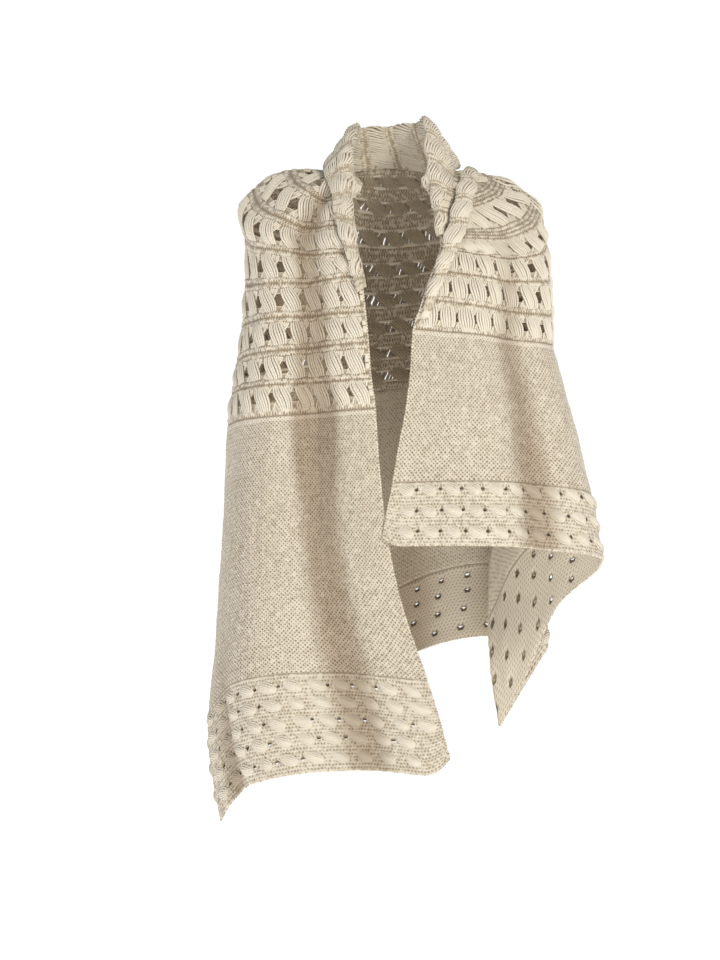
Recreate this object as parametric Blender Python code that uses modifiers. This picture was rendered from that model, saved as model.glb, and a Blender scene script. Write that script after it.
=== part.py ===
# Open-front hand-knit cardigan, hanging in its worn shape on a figure that is left out.
# Metres, +Z up, the wearer faces -Y. Origin: middle of the neck base, level with the shoulders.
import math

import bpy
import numpy as np

# ---------------------------------------------------------------- sizes
CLOTH = 0.003  # wall of the chunky knit
SEAM = 0.0007  # free gap between two sewn pieces
CREAM = (0.78, 0.72, 0.58)
COLUMN_PITCH = 0.026  # widest facet along a ring
YOKE_ROWS = 9
COLLAR_LIFT = 0.0088  # middle of the collar's fall above the middle of the yoke
LAPEL_FOOT = CLOTH + 0.0007  # the lapel rests on the yoke with this between middles

# Each ring follows one knitted row round the body, from the neck to the hem.
# It is open in front, and runs right edge, right side, back, left side, left edge.
RING = (
    "name", "at",
    "r_edge_x", "r_edge_y", "r_edge_z", "r_mid_z", "r_side_x", "r_side_z",
    "back_y", "back_z",
    "l_side_x", "l_side_z", "l_mid_z", "l_edge_x", "l_edge_y", "l_edge_z",
    "round", "pleat",
)
RINGS = [dict(zip(RING, row)) for row in (
    ("neck", 0.0, -0.064, -0.066, -0.020, -0.014, -0.079, -0.004,
     0.080, 0.010, 0.086, -0.004, -0.014, 0.061, -0.066, -0.020, 2.0, 0.0),
    ("ridge 1", 1.0, -0.063, -0.082, -0.052, -0.034, -0.151, 0.000,
     0.100, -0.030, 0.146, -0.008, -0.034, 0.066, -0.081, -0.048, 2.0, 0.0),
    ("ridge 2", 2.0, -0.060, -0.096, -0.083, -0.074, -0.203, -0.026,
     0.115, -0.070, 0.200, -0.032, -0.074, 0.072, -0.095, -0.082, 2.0, 0.0),
    ("shoulder tip", 2.5, -0.058, -0.104, -0.108, -0.100, -0.226, -0.053,
     0.122, -0.095, 0.221, -0.053, -0.096, 0.074, -0.102, -0.099, 2.1, 0.0),
    ("ridge 3", 3.0, -0.055, -0.111, -0.133, -0.127, -0.217, -0.106,
     0.127, -0.120, 0.230, -0.082, -0.114, 0.074, -0.107, -0.112, 2.2, 0.0),
    ("ridge 4", 4.0, -0.045, -0.120, -0.161, -0.172, -0.218, -0.168,
     0.132, -0.165, 0.234, -0.108, -0.135, 0.074, -0.112, -0.122, 2.3, 0.0),
    ("ridge 5", 5.0, -0.039, -0.127, -0.209, -0.218, -0.221, -0.226,
     0.135, -0.210, 0.238, -0.150, -0.160, 0.066, -0.118, -0.146, 2.3, 0.0),
    ("ridge 6", 6.0, -0.034, -0.131, -0.256, -0.270, -0.229, -0.282,
     0.137, -0.250, 0.240, -0.190, -0.193, 0.055, -0.124, -0.175, 2.4, 0.0),
    ("ridge 7", 7.0, -0.030, -0.133, -0.311, -0.321, -0.236, -0.331,
     0.139, -0.288, 0.241, -0.231, -0.228, 0.044, -0.129, -0.209, 2.4, 0.0),
    ("yoke foot", 8.0, -0.024, -0.134, -0.353, -0.366, -0.243, -0.376,
     0.140, -0.325, 0.243, -0.268, -0.258, 0.033, -0.132, -0.243, 2.4, 0.0),
    ("body 1", 9.0, -0.017, -0.134, -0.453, -0.463, -0.249, -0.483,
     0.143, -0.405, 0.2575, -0.327, -0.314, 0.029, -0.134, -0.302, 2.4, 0.30),
    ("body 2", 10.0, -0.005, -0.132, -0.555, -0.562, -0.255, -0.594,
     0.146, -0.482, 0.274, -0.387, -0.369, 0.022, -0.136, -0.361, 2.4, 0.60),
    ("body 3", 11.0, 0.018, -0.129, -0.658, -0.660, -0.262, -0.705,
     0.149, -0.560, 0.2875, -0.448, -0.425, 0.011, -0.138, -0.419, 2.4, 0.85),
    ("border head", 12.0, 0.054, -0.127, -0.762, -0.757, -0.272, -0.815,
     0.152, -0.637, 0.301, -0.508, -0.480, 0.001, -0.140, -0.478, 2.4, 1.0),
    ("border middle", 13.0, 0.074, -0.125, -0.834, -0.832, -0.270, -0.897,
     0.154, -0.693, 0.308, -0.553, -0.524, -0.007, -0.141, -0.521, 2.4, 1.0),
    ("hem", 14.0, 0.088, -0.123, -0.905, -0.907, -0.255, -0.980,
     0.156, -0.750, 0.316, -0.597, -0.568, -0.012, -0.142, -0.563, 2.4, 1.0),
)]

# Behind the wearer's left hip the cloth doubles back in one deep pleat: it comes round the
# side to the tip, returns to the back fold, and turns again across the back.
PLEAT = ("at", "back_fold", "tip", "flap_low", "flap_high")
PLEATS = [dict(zip(PLEAT, row)) for row in (
    (12.0, (0.240, 0.140, -0.612), (0.1515, 0.118, -0.680), (0.187, 0.098, -0.600), (0.238, 0.066, -0.545)),
    (13.0, (0.242, 0.140, -0.668), (0.1580, 0.117, -0.766), (0.197, 0.098, -0.683), (0.246, 0.064, -0.602)),
    (14.0, (0.244, 0.140, -0.724), (0.1690, 0.116, -0.846), (0.209, 0.098, -0.765), (0.254, 0.061, -0.660)),
)]
PLEAT_ROUND = 0.012  # how far each pleat turn is rounded along the cloth
PLEAT_OPEN = 0.0075  # half the free space inside each turn

# Soft folds, pushed out (+) or in (-) across a panel. "share" runs 0 at a panel's front edge to
# 1 at its side, or on the back from 0 at the right side to 1 at the left side.
FOLD = ("name", "panel", "at_a", "share_a", "at_b", "share_b", "half", "push_a", "push_b")
FOLDS = [dict(zip(FOLD, row)) for row in (
    ("long trough", "right", 1.0, 0.42, 8.0, 0.34, 0.13, -0.013, -0.017),
    ("long trough low", "right", 8.6, 0.34, 14.0, 0.27, 0.12, -0.016, -0.012),
    ("outer swell", "right", 2.0, 0.66, 14.0, 0.60, 0.15, 0.006, 0.013),
    ("hem trough", "right", 10.0, 0.82, 14.0, 0.80, 0.08, 0.0, -0.016),
    ("edge swell", "right", 7.0, 0.08, 14.0, 0.08, 0.10, 0.003, 0.008),
    ("inner swell", "left", 6.0, 0.33, 13.0, 0.40, 0.09, 0.004, 0.009),
    ("side trough", "left", 3.0, 0.52, 14.0, 0.60, 0.11, -0.006, -0.014),
    ("side swell", "left", 4.0, 0.82, 14.0, 0.84, 0.12, 0.004, 0.009),
    ("back fold 1", "back", 6.0, 0.16, 14.0, 0.12, 0.06, -0.003, -0.016),
    ("back fold 2", "back", 6.0, 0.30, 14.0, 0.27, 0.07, 0.003, 0.014),
    ("back fold 3", "back", 7.0, 0.44, 14.0, 0.42, 0.06, -0.003, -0.013),
)]
SEAM_CALM = 0.09  # share of a panel beside a side seam over which its folds die out
CORNERS = (("right", 0.034, 0.028), ("left", 0.022, 0.014))  # panel, run along the hem, rise

# Collar stations from the right front end, behind the neck, to the left front end:
# where its foot meets the yoke (side, ring), the roll line, and the outer edge it falls to.
STATION = ("name", "foot", "roll", "edge", "curl")
STATIONS = [dict(zip(STATION, row)) for row in (
    ("right end", ("r_edge", 5.2), (-0.034, -0.136, -0.222), (-0.040, -0.134, -0.226), 0.0030),
    ("right low", ("r_edge", 4.0), (-0.043, -0.128, -0.165), (-0.055, -0.128, -0.172), 0.0040),
    ("right chest", ("r_edge", 3.1), (-0.051, -0.119, -0.135), (-0.068, -0.120, -0.128), 0.0045),
    ("right breast", ("r_edge", 1.8), (-0.058, -0.104, -0.080), (-0.084, -0.104, -0.074), 0.0050),
    ("right collarbone", ("r_edge", 0.7), (-0.060, -0.083, -0.035), (-0.092, -0.088, -0.038), 0.0060),
    ("right neck", ("ring", 0.055), (-0.060, -0.055, 0.015), (-0.099, -0.045, -0.004), 0.0070),
    ("right shoulder", ("ring", 0.20), (-0.053, -0.005, 0.055), (-0.102, 0.004, 0.000), 0.0080),
    ("right nape", ("ring", 0.36), (-0.040, 0.042, 0.062), (-0.074, 0.072, -0.004), 0.0080),
    ("nape", ("ring", 0.50), (0.000, 0.062, 0.067), (0.000, 0.097, -0.012), 0.0080),
    ("left nape", ("ring", 0.64), (0.041, 0.042, 0.070), (0.076, 0.072, -0.004), 0.0080),
    ("left shoulder", ("ring", 0.80), (0.054, -0.005, 0.072), (0.104, 0.004, 0.000), 0.0080),
    ("left neck", ("ring", 0.945), (0.056, -0.055, 0.020), (0.094, -0.045, -0.012), 0.0070),
    ("left collarbone", ("l_edge", 0.9), (0.062, -0.085, -0.040), (0.089, -0.086, -0.047), 0.0060),
    ("left breast", ("l_edge", 2.2), (0.070, -0.102, -0.085), (0.080, -0.101, -0.086), 0.0050),
    ("left end", ("l_edge", 3.0), (0.071, -0.111, -0.112), (0.076, -0.110, -0.112), 0.0040),
)]

# The left front's own edge stands up in a narrow roll that starts on the shoulder: the line
# of its fold, and the width of the roll there.
LAPEL = ("name", "fold", "width", "height")
LAPELS = [dict(zip(LAPEL, row)) for row in (
    ("shoulder", (0.112, -0.010, -0.008), 0.018, 0.010),
    ("collarbone", (0.102, -0.060, -0.032), 0.022, 0.013),
    ("breast", (0.092, -0.092, -0.070), 0.024, 0.014),
    ("chest", (0.083, -0.106, -0.104), 0.024, 0.013),
    ("bust", (0.072, -0.116, -0.141), 0.020, 0.010),
    ("under bust", (0.057, -0.124, -0.185), 0.015, 0.008),
    ("end", (0.044, -0.130, -0.228), 0.010, 0.006),
)]

# ---------------------------------------------------------------- drawing the cloth
def slopes(at, values):
    """Tangents for a smooth line through values, one row per place in at."""
    step = np.diff(at)
    shape = (-1,) + (1,) * (values.ndim - 1)
    chord = np.diff(values, axis=0) / step.reshape(shape)
    ahead = step[1:].reshape(shape)
    behind = step[:-1].reshape(shape)
    middle = (chord[:-1] * ahead + chord[1:] * behind) / (ahead + behind)
    return np.concatenate([chord[:1], middle, chord[-1:]])


def through(at, values, where):
    """A smooth line through values, read at where. Beyond the ends it goes straight on."""
    at = np.asarray(at, float)
    values = np.asarray(values, float)
    where = np.asarray(where, float)
    tangent = slopes(at, values)
    i = np.clip(np.searchsorted(at, where) - 1, 0, len(at) - 2)
    step = at[i + 1] - at[i]
    over = np.where(where < at[0], where - at[0], np.where(where > at[-1], where - at[-1], 0.0))
    t = (where - over - at[i]) / step
    shape = (-1,) + (1,) * (values.ndim - 1)
    t = t.reshape(shape)
    step = step.reshape(shape)
    over = over.reshape(shape)
    a, b = values[i], values[i + 1]
    ma, mb = tangent[i], tangent[i + 1]
    line = (
        (2 * t**3 - 3 * t**2 + 1) * a
        + (t**3 - 2 * t**2 + t) * step * ma
        + (3 * t**2 - 2 * t**3) * b
        + (t**3 - t**2) * step * mb
    )
    return line + over * np.where(over < 0, ma, mb)


def quarter(start, end, z_three, angles, exponent):
    """Points of a rounded quarter from start (across the body) to end (at the side), in plan."""
    points = []
    for angle in angles:
        across = math.sin(math.radians(angle)) ** (2 / exponent)
        along = math.cos(math.radians(angle)) ** (2 / exponent)
        x = start[0] + (end[0] - start[0]) * across
        y = end[1] + (start[1] - end[1]) * along
        share = angle / 90
        a, m, b = z_three
        z = a * (1 - share) * (1 - 2 * share) + 4 * m * share * (1 - share) + b * share * (2 * share - 1)
        points.append((x, y, z))
    return points


FRONT_ANGLES = (0, 20, 42, 66)
BACK_ANGLES = (66, 44, 22)
PLEAT_ANGLES = (10, 22, 33, 37, 41, 47, 51, 55, 66, 78)
R_SIDE, BACK, L_SIDE, LAST = 4, 8, 19, 23  # places of these in the list of points of a ring


def ring_points(ring, pull):
    """The 24 points that one ring runs through. pull moves the ten of the pleat off the plain round."""
    side_r = (ring["r_side_x"], 0.0)
    side_l = (ring["l_side_x"], 0.0)
    back = (0.0, ring["back_y"])
    n = ring["round"]
    right_z = (ring["r_edge_z"], ring["r_mid_z"], ring["r_side_z"])
    left_z = (ring["l_edge_z"], ring["l_mid_z"], ring["l_side_z"])
    fall = 0.5 * (ring["back_z"] + ring["r_side_z"])
    back_r = (ring["back_z"], fall, ring["r_side_z"])
    back_l = (ring["back_z"], 0.5 * (ring["back_z"] + ring["l_side_z"]), ring["l_side_z"])
    points = quarter((ring["r_edge_x"], ring["r_edge_y"]), side_r, right_z, FRONT_ANGLES, n)
    points += quarter(back, side_r, back_r, (90,), n)
    points += quarter(back, side_r, back_r, BACK_ANGLES, n)
    points += quarter(back, side_l, back_l, (0,), n)
    pleat = np.array(quarter(back, side_l, back_l, PLEAT_ANGLES, n)) + pull
    points += [tuple(p) for p in pleat]
    points += quarter((ring["l_edge_x"], ring["l_edge_y"]), side_l, left_z, (90,), n)
    points += quarter((ring["l_edge_x"], ring["l_edge_y"]), side_l, left_z, FRONT_ANGLES[::-1], n)
    return np.array(points)


def pleated(ring, pleat):
    """How far the ten points of the pleat stand off the plain round of this ring."""
    plain = ring_points(ring, 0)[BACK + 1 : L_SIDE]
    fold = np.array(pleat["back_fold"])
    tip = np.array(pleat["tip"])
    run = tip - fold
    lean = run * (PLEAT_ROUND / abs(run[0]))
    back = np.array((0.0, ring["back_y"], ring["back_z"]))
    third = fold + (0, PLEAT_OPEN, 0)
    low = np.array(pleat["flap_low"])
    near = low - tip
    rise = near * (PLEAT_ROUND / abs(near[0]))
    # The third layer falls a little towards the back fold and meets the back's own hem.
    points = np.array([
        back + (third - back) * 0.30 + (0, 0.004, 0.022),
        back + (third - back) * 0.64 + (0, 0.006, 0.026),
        third + (-PLEAT_ROUND, 0, 0.003),
        fold,
        fold + lean - (0, PLEAT_OPEN, 0) - (0, lean[1], 0),
        tip - lean + (0, PLEAT_OPEN, 0) + (0, lean[1], 0),
        tip,
        tip + rise - (0, PLEAT_OPEN, 0) - (0, rise[1], 0),
        low,
        pleat["flap_high"],
    ])
    return points - plain


def all_rings():
    """Every ring's points, (rings, 24, 3)."""
    low = {pleat["at"]: pleat for pleat in PLEATS}
    full = pleated(RINGS[-3], PLEATS[0])
    found = []
    for ring in RINGS:
        if ring["at"] in low:
            pull = pleated(ring, low[ring["at"]])
        else:
            pull = full * ring["pleat"]
        found.append(ring_points(ring, pull))
    return np.array(found)


RING_AT = np.array([ring["at"] for ring in RINGS])
RING_POINTS = all_rings()
LOW = RING_POINTS[-6:]
STEPS = np.linalg.norm(np.diff(LOW, axis=1), axis=2).mean(axis=0)
PLACES = np.concatenate([[0.0], np.cumsum(STEPS)])  # metres along a ring, at its points
SIDE_R, SIDE_L, END = PLACES[R_SIDE], PLACES[L_SIDE], PLACES[LAST]
PANELS = {"right": (0.0, SIDE_R), "back": (SIDE_R, SIDE_L), "left": (END, SIDE_L)}


def bare(at, place):
    """Points of the smooth cloth at rings at and places place, (rings, places, 3)."""
    rings = through(RING_AT, RING_POINTS, at)
    return through(PLACES, rings.transpose(1, 0, 2), place).transpose(1, 0, 2)


def facing(surface, at, place, step=2e-4):
    """Outward unit normals of a surface."""
    along = surface(at, place + step) - surface(at, place - step)
    down = surface(at + step * 10, place) - surface(at - step * 10, place)
    out = np.cross(along, down)
    return out / np.linalg.norm(out, axis=2, keepdims=True)


def push(at, place):
    """How far the folds stand out, (rings, places)."""
    total = np.zeros((len(at), len(place)))
    for fold in FOLDS:
        first, last = PANELS[fold["panel"]]
        share = (place - first) / (last - first)
        run = (at - fold["at_a"]) / (fold["at_b"] - fold["at_a"])
        held = np.clip(run, 0, 1)
        centre = fold["share_a"] + (fold["share_b"] - fold["share_a"]) * held
        depth = fold["push_a"] + (fold["push_b"] - fold["push_a"]) * held
        fade = np.clip(1 - np.maximum(-run, run - 1) * (fold["at_b"] - fold["at_a"]) / 1.5, 0, 1)
        inside = (share > -0.001) & (share < 1.001)
        bell = np.exp(-(((share[None, :] - centre[:, None]) / fold["half"]) ** 2))
        room = np.minimum(share, 1 - share) if fold["panel"] == "back" else 1 - share
        rest = np.clip(room / SEAM_CALM, 0, 1)
        ends = rest * rest * (3 - 2 * rest)
        total += (depth * fade)[:, None] * bell * np.where(inside, ends, 0.0)[None, :]
    return total


def cloth(at, place):
    """The middle of the cloth, with folds and rounded front corners."""
    points = bare(at, place) + facing(bare, at, place) * push(at, place)[:, :, None]
    low = np.clip((at - 12.0) / 2.0, 0, None) ** 2
    for panel, run, rise in CORNERS:
        edge = PANELS[panel][0]
        near = np.clip(1 - np.abs(place - edge) / run, 0, 1) ** 2
        points[:, :, 2] += rise * low[:, None] * near[None, :]
    return points


# ---------------------------------------------------------------- pieces
def piece(name, points, faces):
    """A named object in its own material, linked into the garment."""
    mesh = bpy.data.meshes.new(name)
    mesh.from_pydata(points.tolist(), [], faces.tolist())
    mesh.shade_smooth()
    mesh.materials.append(knit(f"{name}_knit"))
    made = bpy.data.objects.new(name, mesh)
    garment.objects.link(made)
    return made


def panel(name, at, place, seams):
    """One panel of the cloth between rings and places, lofted as a closed wall, with its sewn edges drawn back.

    Its two faces stand off the middle of the cloth along the whole garment's own normals, so that
    the edges of two neighbouring panels stay parallel along their seam.
    """
    middle = drawn_back(cloth(at, place), seams)
    half_wall = facing(cloth, at, place) * (CLOTH / 2)
    rows, columns = middle.shape[:2]
    corner = np.arange(rows * columns).reshape(rows, columns)
    outside = np.stack([corner[:-1, :-1], corner[:-1, 1:], corner[1:, 1:], corner[1:, :-1]], axis=-1)
    inside = outside[..., ::-1] + rows * columns
    border = np.concatenate([corner[0, :], corner[1:, -1], corner[-1, -2::-1], corner[-2:0:-1, 0]])
    ahead = np.roll(border, -1)
    rim = np.stack([ahead, border, border + rows * columns, ahead + rows * columns], axis=-1)
    # Along a seam both neighbours' rims split on the same diagonal, so that they can't cross.
    turn = rows + columns - 2
    rim[turn:] = np.roll(rim[turn:], -1, axis=1)
    faces = np.concatenate([outside.reshape(-1, 4), inside.reshape(-1, 4), rim])
    points = np.concatenate([middle + half_wall, middle - half_wall]).reshape(-1, 3)
    return piece(name, points, faces)


def strip(name, grid):
    """A strip of cloth through a grid of points, given its wall by Solidify."""
    rows, columns = grid.shape[:2]
    corner = np.arange(rows * columns).reshape(rows, columns)
    faces = np.stack([corner[:-1, :-1], corner[:-1, 1:], corner[1:, 1:], corner[1:, :-1]], axis=-1)
    made = piece(name, grid.reshape(-1, 3), faces.reshape(-1, 4))
    wall = made.modifiers.new("wall", "SOLIDIFY")
    wall.thickness = CLOTH
    wall.offset = 0.0
    wall.use_even_offset = True
    return made


def knit(name):
    """Matt undyed cotton."""
    made = bpy.data.materials.new(name)
    made.use_nodes = True
    shader = made.node_tree.nodes["Principled BSDF"]
    shader.inputs["Base Color"].default_value = (*CREAM, 1)
    shader.inputs["Roughness"].default_value = 0.9
    shader.inputs["Metallic"].default_value = 0.0
    return made


def spread(first, last, places, pitch):
    """Places from first to last, through those of places between them, none over pitch apart."""
    stops = [first] + [p for p in places if first + 0.004 < p < last - 0.004] + [last]
    found = [first]
    for a, b in zip(stops, stops[1:]):
        count = max(1, math.ceil((b - a) / pitch))
        found += [a + (b - a) * (k + 1) / count for k in range(count)]
    return np.array(found)


def drawn_back(grid, edges):
    """The grid with its named edges moved in by half a seam, square to each edge."""
    grid = grid.copy()
    views = {
        "top": (grid[0], grid[1] - grid[0]),
        "foot": (grid[-1], grid[-2] - grid[-1]),
        "first": (grid[:, 0], grid[:, 1] - grid[:, 0]),
        "last": (grid[:, -1], grid[:, -2] - grid[:, -1]),
    }
    for edge in edges:
        line, inward = views[edge]
        along = np.gradient(line, axis=0)
        along /= np.linalg.norm(along, axis=1, keepdims=True)
        inward = inward - (inward * along).sum(axis=1, keepdims=True) * along
        inward /= np.linalg.norm(inward, axis=1, keepdims=True)
        line += inward * (SEAM / 2)
    return grid


def laid(rough, lift):
    """The point lift above the outside of the cloth, over the cloth's own nearest point."""
    span = np.linalg.norm(YOKE_POINTS - np.array(rough), axis=2)
    i, j = np.unravel_index(span.argmin(), span.shape)
    return YOKE_POINTS[i, j] + YOKE_OUT[i, j] * lift


def yoke_edge():
    """The yoke's open edge as its panels have it, from the right front up, behind the neck and down.

    Returns the edge's points, the way the cloth runs off there, its outward normals, and for each
    point the (edge, value) that a collar station's foot can name.
    """
    rows = np.linspace(0.0, 8.0, YOKE_ROWS + 1)
    columns = spread(0.0, END, PLACES, COLUMN_PITCH)[::2]
    columns[-1] = END
    legs = (
        ("r_edge", rows[rows < 5.6][:0:-1], None),
        ("ring", None, columns),
        ("l_edge", rows[rows < 3.7][1:], None),
    )
    points, away, out, names = [], [], [], []
    for leg, down, round_neck in legs:
        at = np.array([0.0]) if down is None else down
        place = np.array([0.0 if leg == "r_edge" else END]) if round_neck is None else round_neck
        here = cloth(at, place)
        if leg == "ring":
            inner = cloth(at + 0.05, place)
        else:
            inner = cloth(at, place + (0.004 if leg == "r_edge" else -0.004))
        run_off = here - inner
        normals = facing(cloth, at, place)
        value = at if round_neck is None else place / END
        points.append(here.reshape(-1, 3))
        away.append(run_off.reshape(-1, 3))
        out.append(normals.reshape(-1, 3))
        names += [(leg, v) for v in value]
    away = np.concatenate(away)
    away /= np.linalg.norm(away, axis=1, keepdims=True)
    # The two corners stand clear of both edges that meet there.
    for name in (("ring", 0.0), ("ring", 1.0)):
        i = names.index(name)
        away[i] = away[i - 1] + away[i + 1]
    return np.concatenate(points), away, np.concatenate(out), names


def collar_grid():
    """The collar's points: from its foot on the yoke, up to the roll, over and down to its edge."""
    points, away, out, names = yoke_edge()
    along = np.concatenate([[0], np.cumsum(np.linalg.norm(np.diff(points, axis=0), axis=1))])
    found = []
    for station in STATIONS:
        leg, value = station["foot"]
        on_leg = [i for i, name in enumerate(names) if name[0] == leg]
        values = np.array([names[i][1] for i in on_leg])
        order = np.argsort(values)
        found.append(np.interp(value, values[order], along[on_leg][order]))
    rolls = np.array([station["roll"] for station in STATIONS])
    edges = np.array([laid(station["edge"], COLLAR_LIFT) for station in STATIONS])
    curls = np.array([[station["curl"]] for station in STATIONS])
    keep = (along >= found[0] - 1e-6) & (along <= found[-1] + 1e-6)
    foot = points[keep] + away[keep] * SEAM
    roll = through(found, rolls, along[keep])
    edge = through(found, edges, along[keep])
    curl = through(found, curls, along[keep])
    first = foot + away[keep] * 0.0025
    rise = foot * 0.5 + roll * 0.5 + away[keep] * 0.001 - out[keep] * 0.0005
    # The crown of the roll stands off both the stand and the fall.
    crown = roll + (roll - foot) * 0.06 + out[keep] * curl * 0.55
    fall = roll * 0.55 + edge * 0.45 + out[keep] * curl * 0.85
    lines = np.stack([foot, first, rise, roll, crown, fall, edge])
    across = (0, 0.06, 0.30, 0.52, 0.60, 0.80, 1.0)
    return through(across, lines, (0, 0.06, 0.24, 0.40, 0.51, 0.58, 0.66, 0.82, 1.0))


def lapel_grid():
    """The roll of the left front's edge, from its foot on the yoke, round, to its free edge."""
    stops = []
    for station in LAPELS:
        fold = np.array(station["fold"])
        width, height = station["width"], station["height"]
        away = np.array((1.0, 0.15, 0.0)) if station["name"] != "shoulder" else np.array((1.0, 0.0, -0.3))
        foot = laid(fold + away * width * 0.78, LAPEL_FOOT)
        under = laid(fold + away * width * 0.45, LAPEL_FOOT + height * 0.32)
        left = laid(fold, LAPEL_FOOT + height * 0.52)
        crown = laid(fold + away * width * 0.04, LAPEL_FOOT + height * 0.86)
        over = laid(fold + away * width * 0.42, LAPEL_FOOT + height * 1.06)
        free = laid(fold + away * width, LAPEL_FOOT + height * 0.62)
        stops.append([foot, under, left, crown, over, free])
    stops = np.array(stops)
    span = np.linalg.norm(np.diff(stops[:, 2], axis=0), axis=1)
    along = np.concatenate([[0], np.cumsum(span)])
    lines = through(along, stops, spread(0, along[-1], along[1:-1], 0.030))
    across = np.linspace(0, 1, 6)
    return through(across, lines.transpose(1, 0, 2), (0, 0.2, 0.32, 0.42, 0.5, 0.6, 0.8, 1.0))


# ---------------------------------------------------------------- build
for old in list(bpy.data.objects):
    bpy.data.objects.remove(old, do_unlink=True)
garment = bpy.data.collections.new("open_front_cardigan")
bpy.context.scene.collection.children.link(garment)

FINE_AT = np.linspace(0, 8, 161)
FINE_PLACE = np.linspace(0, END, 701)
YOKE_POINTS = cloth(FINE_AT, FINE_PLACE)
YOKE_OUT = facing(cloth, FINE_AT, FINE_PLACE)

PANEL = ("name", "first", "last", "seams")
BAND = ("name", "top", "foot", "rows", "seams")
panels = [dict(zip(PANEL, row)) for row in (
    ("right_front", 0.0, SIDE_R, ("last",)),
    ("back", SIDE_R, SIDE_L, ("first", "last")),
    ("left_front", SIDE_L, END, ("first",)),
)]
bands = [dict(zip(BAND, row)) for row in (
    ("yoke", 0.0, 8.0, YOKE_ROWS, ("foot",)),
    ("body", 8.0, 12.0, 7, ("top", "foot")),
    ("border", 12.0, 14.0, 4, ("top",)),
)]
for band in bands:
    rings = np.linspace(band["top"], band["foot"], band["rows"] + 1)
    for part in panels:
        places = spread(part["first"], part["last"], PLACES, COLUMN_PITCH)
        panel(f"{part['name']}_{band['name']}", rings, places, part["seams"] + band["seams"])
strip("collar", collar_grid())
strip("left_lapel", lapel_grid())
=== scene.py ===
# Open-front hand-knit cardigan in undyed cotton: lace yoke of crossed long stitches between
# garter ridges, plain body, border of small leaves and eyelets, shawl collar and a rolled lapel.
# Metres, +Z up, the wearer faces -Y.
import math

import bpy
import numpy as np
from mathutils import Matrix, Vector


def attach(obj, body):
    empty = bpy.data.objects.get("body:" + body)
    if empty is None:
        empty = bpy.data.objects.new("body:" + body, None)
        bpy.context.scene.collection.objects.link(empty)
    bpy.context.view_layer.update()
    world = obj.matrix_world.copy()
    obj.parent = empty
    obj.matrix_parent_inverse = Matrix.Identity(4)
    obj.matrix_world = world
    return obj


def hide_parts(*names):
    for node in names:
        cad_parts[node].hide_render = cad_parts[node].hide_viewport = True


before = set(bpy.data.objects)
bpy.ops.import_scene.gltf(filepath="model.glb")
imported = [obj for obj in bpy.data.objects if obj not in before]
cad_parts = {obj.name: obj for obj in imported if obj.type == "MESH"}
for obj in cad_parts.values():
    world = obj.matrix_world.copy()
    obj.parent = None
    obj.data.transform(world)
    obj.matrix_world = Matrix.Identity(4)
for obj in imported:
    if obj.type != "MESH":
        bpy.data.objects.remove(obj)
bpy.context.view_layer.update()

# ---------------------------------------------------------------- sizes
CLOTH = 0.003  # wall of the chunky knit
SEAM = 0.0007  # free gap at the foot of the collar
JOIN = 0.0001  # free gap between two sewn panels
COLLAR_LIFT = 0.0088  # middle of the collar's fall above the middle of the yoke
LAPEL_FOOT = CLOTH + 0.0007  # the lapel rests on the yoke with this between middles
YOKE_FOOT, BORDER_HEAD, HEM = 8.0, 12.0, 14.0  # rings where the yoke, the body and the border end

# Stitches
HALF_BEAD = 0.00207  # half the width of one bead of a garter ridge
BEAD_STEP = {"right_front": HALF_BEAD, "back": 0.0027, "left_front": HALF_BEAD}  # as drawn on each panel
HALF_PLAIN = 0.0031  # half the width and height of a plain stitch
HALF_ROLL = 0.0024  # half the width of a stitch of the collar and the lapel
BORDER_FLAT = 0.86  # height of a bead of the border, as a share of its width
FACE_SINK, FACE_RIM = 0.0002, 0.0006  # right side and its edges, this far inside the wall's face
BACK_RIM, BACK_DEEPEST = 0.0005, 0.0007  # edges of the wrong side, the same, and its deepest relief
LEG, LEG_PIT = 0.0005, -0.0010  # relief of plain stitches and of the pits between them
PURL_BUMP, PURL_PIT = 0.0006, -0.0016  # the same on the wrong side
BEAD_CROWN = 2.2  # a place of the knit map on the crown of a bead

# Eyelets: each opens the lattice round it, and runs down through the wall to a narrower far rim.
EYELET_REACH, EYELET_FADE = 7, 0.014  # half stitches and metres round it over which they move aside
EYELET_WAIST = 0.3  # how far it opens between its corners, as a share of its smaller half
EYELET_GROW = 0.87  # share of its size that it grows by
EYELET_FAR = 0.28  # size of its far rim, as a share of its near one
EYELET_DROP = 0.0054  # how much lower its far rim lies
# An eyelet's far rim gets a relief deeper than the wall can sink, which the finish paints dark brown as
# painted shadow.
EYELET_SHADOW_RELIEF = -0.0028  # relief of its far rim

# Folds
PLEAT_ROUND = 0.012  # how far each pleat turn is rounded along the cloth
PLEAT_OPEN = 0.0075  # half the free space inside each turn
SEAM_CALM = 0.09  # share of a panel beside a side seam over which its folds die out
FOLD_FADE = 1.5  # rings past its two ends over which a fold dies out

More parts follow.
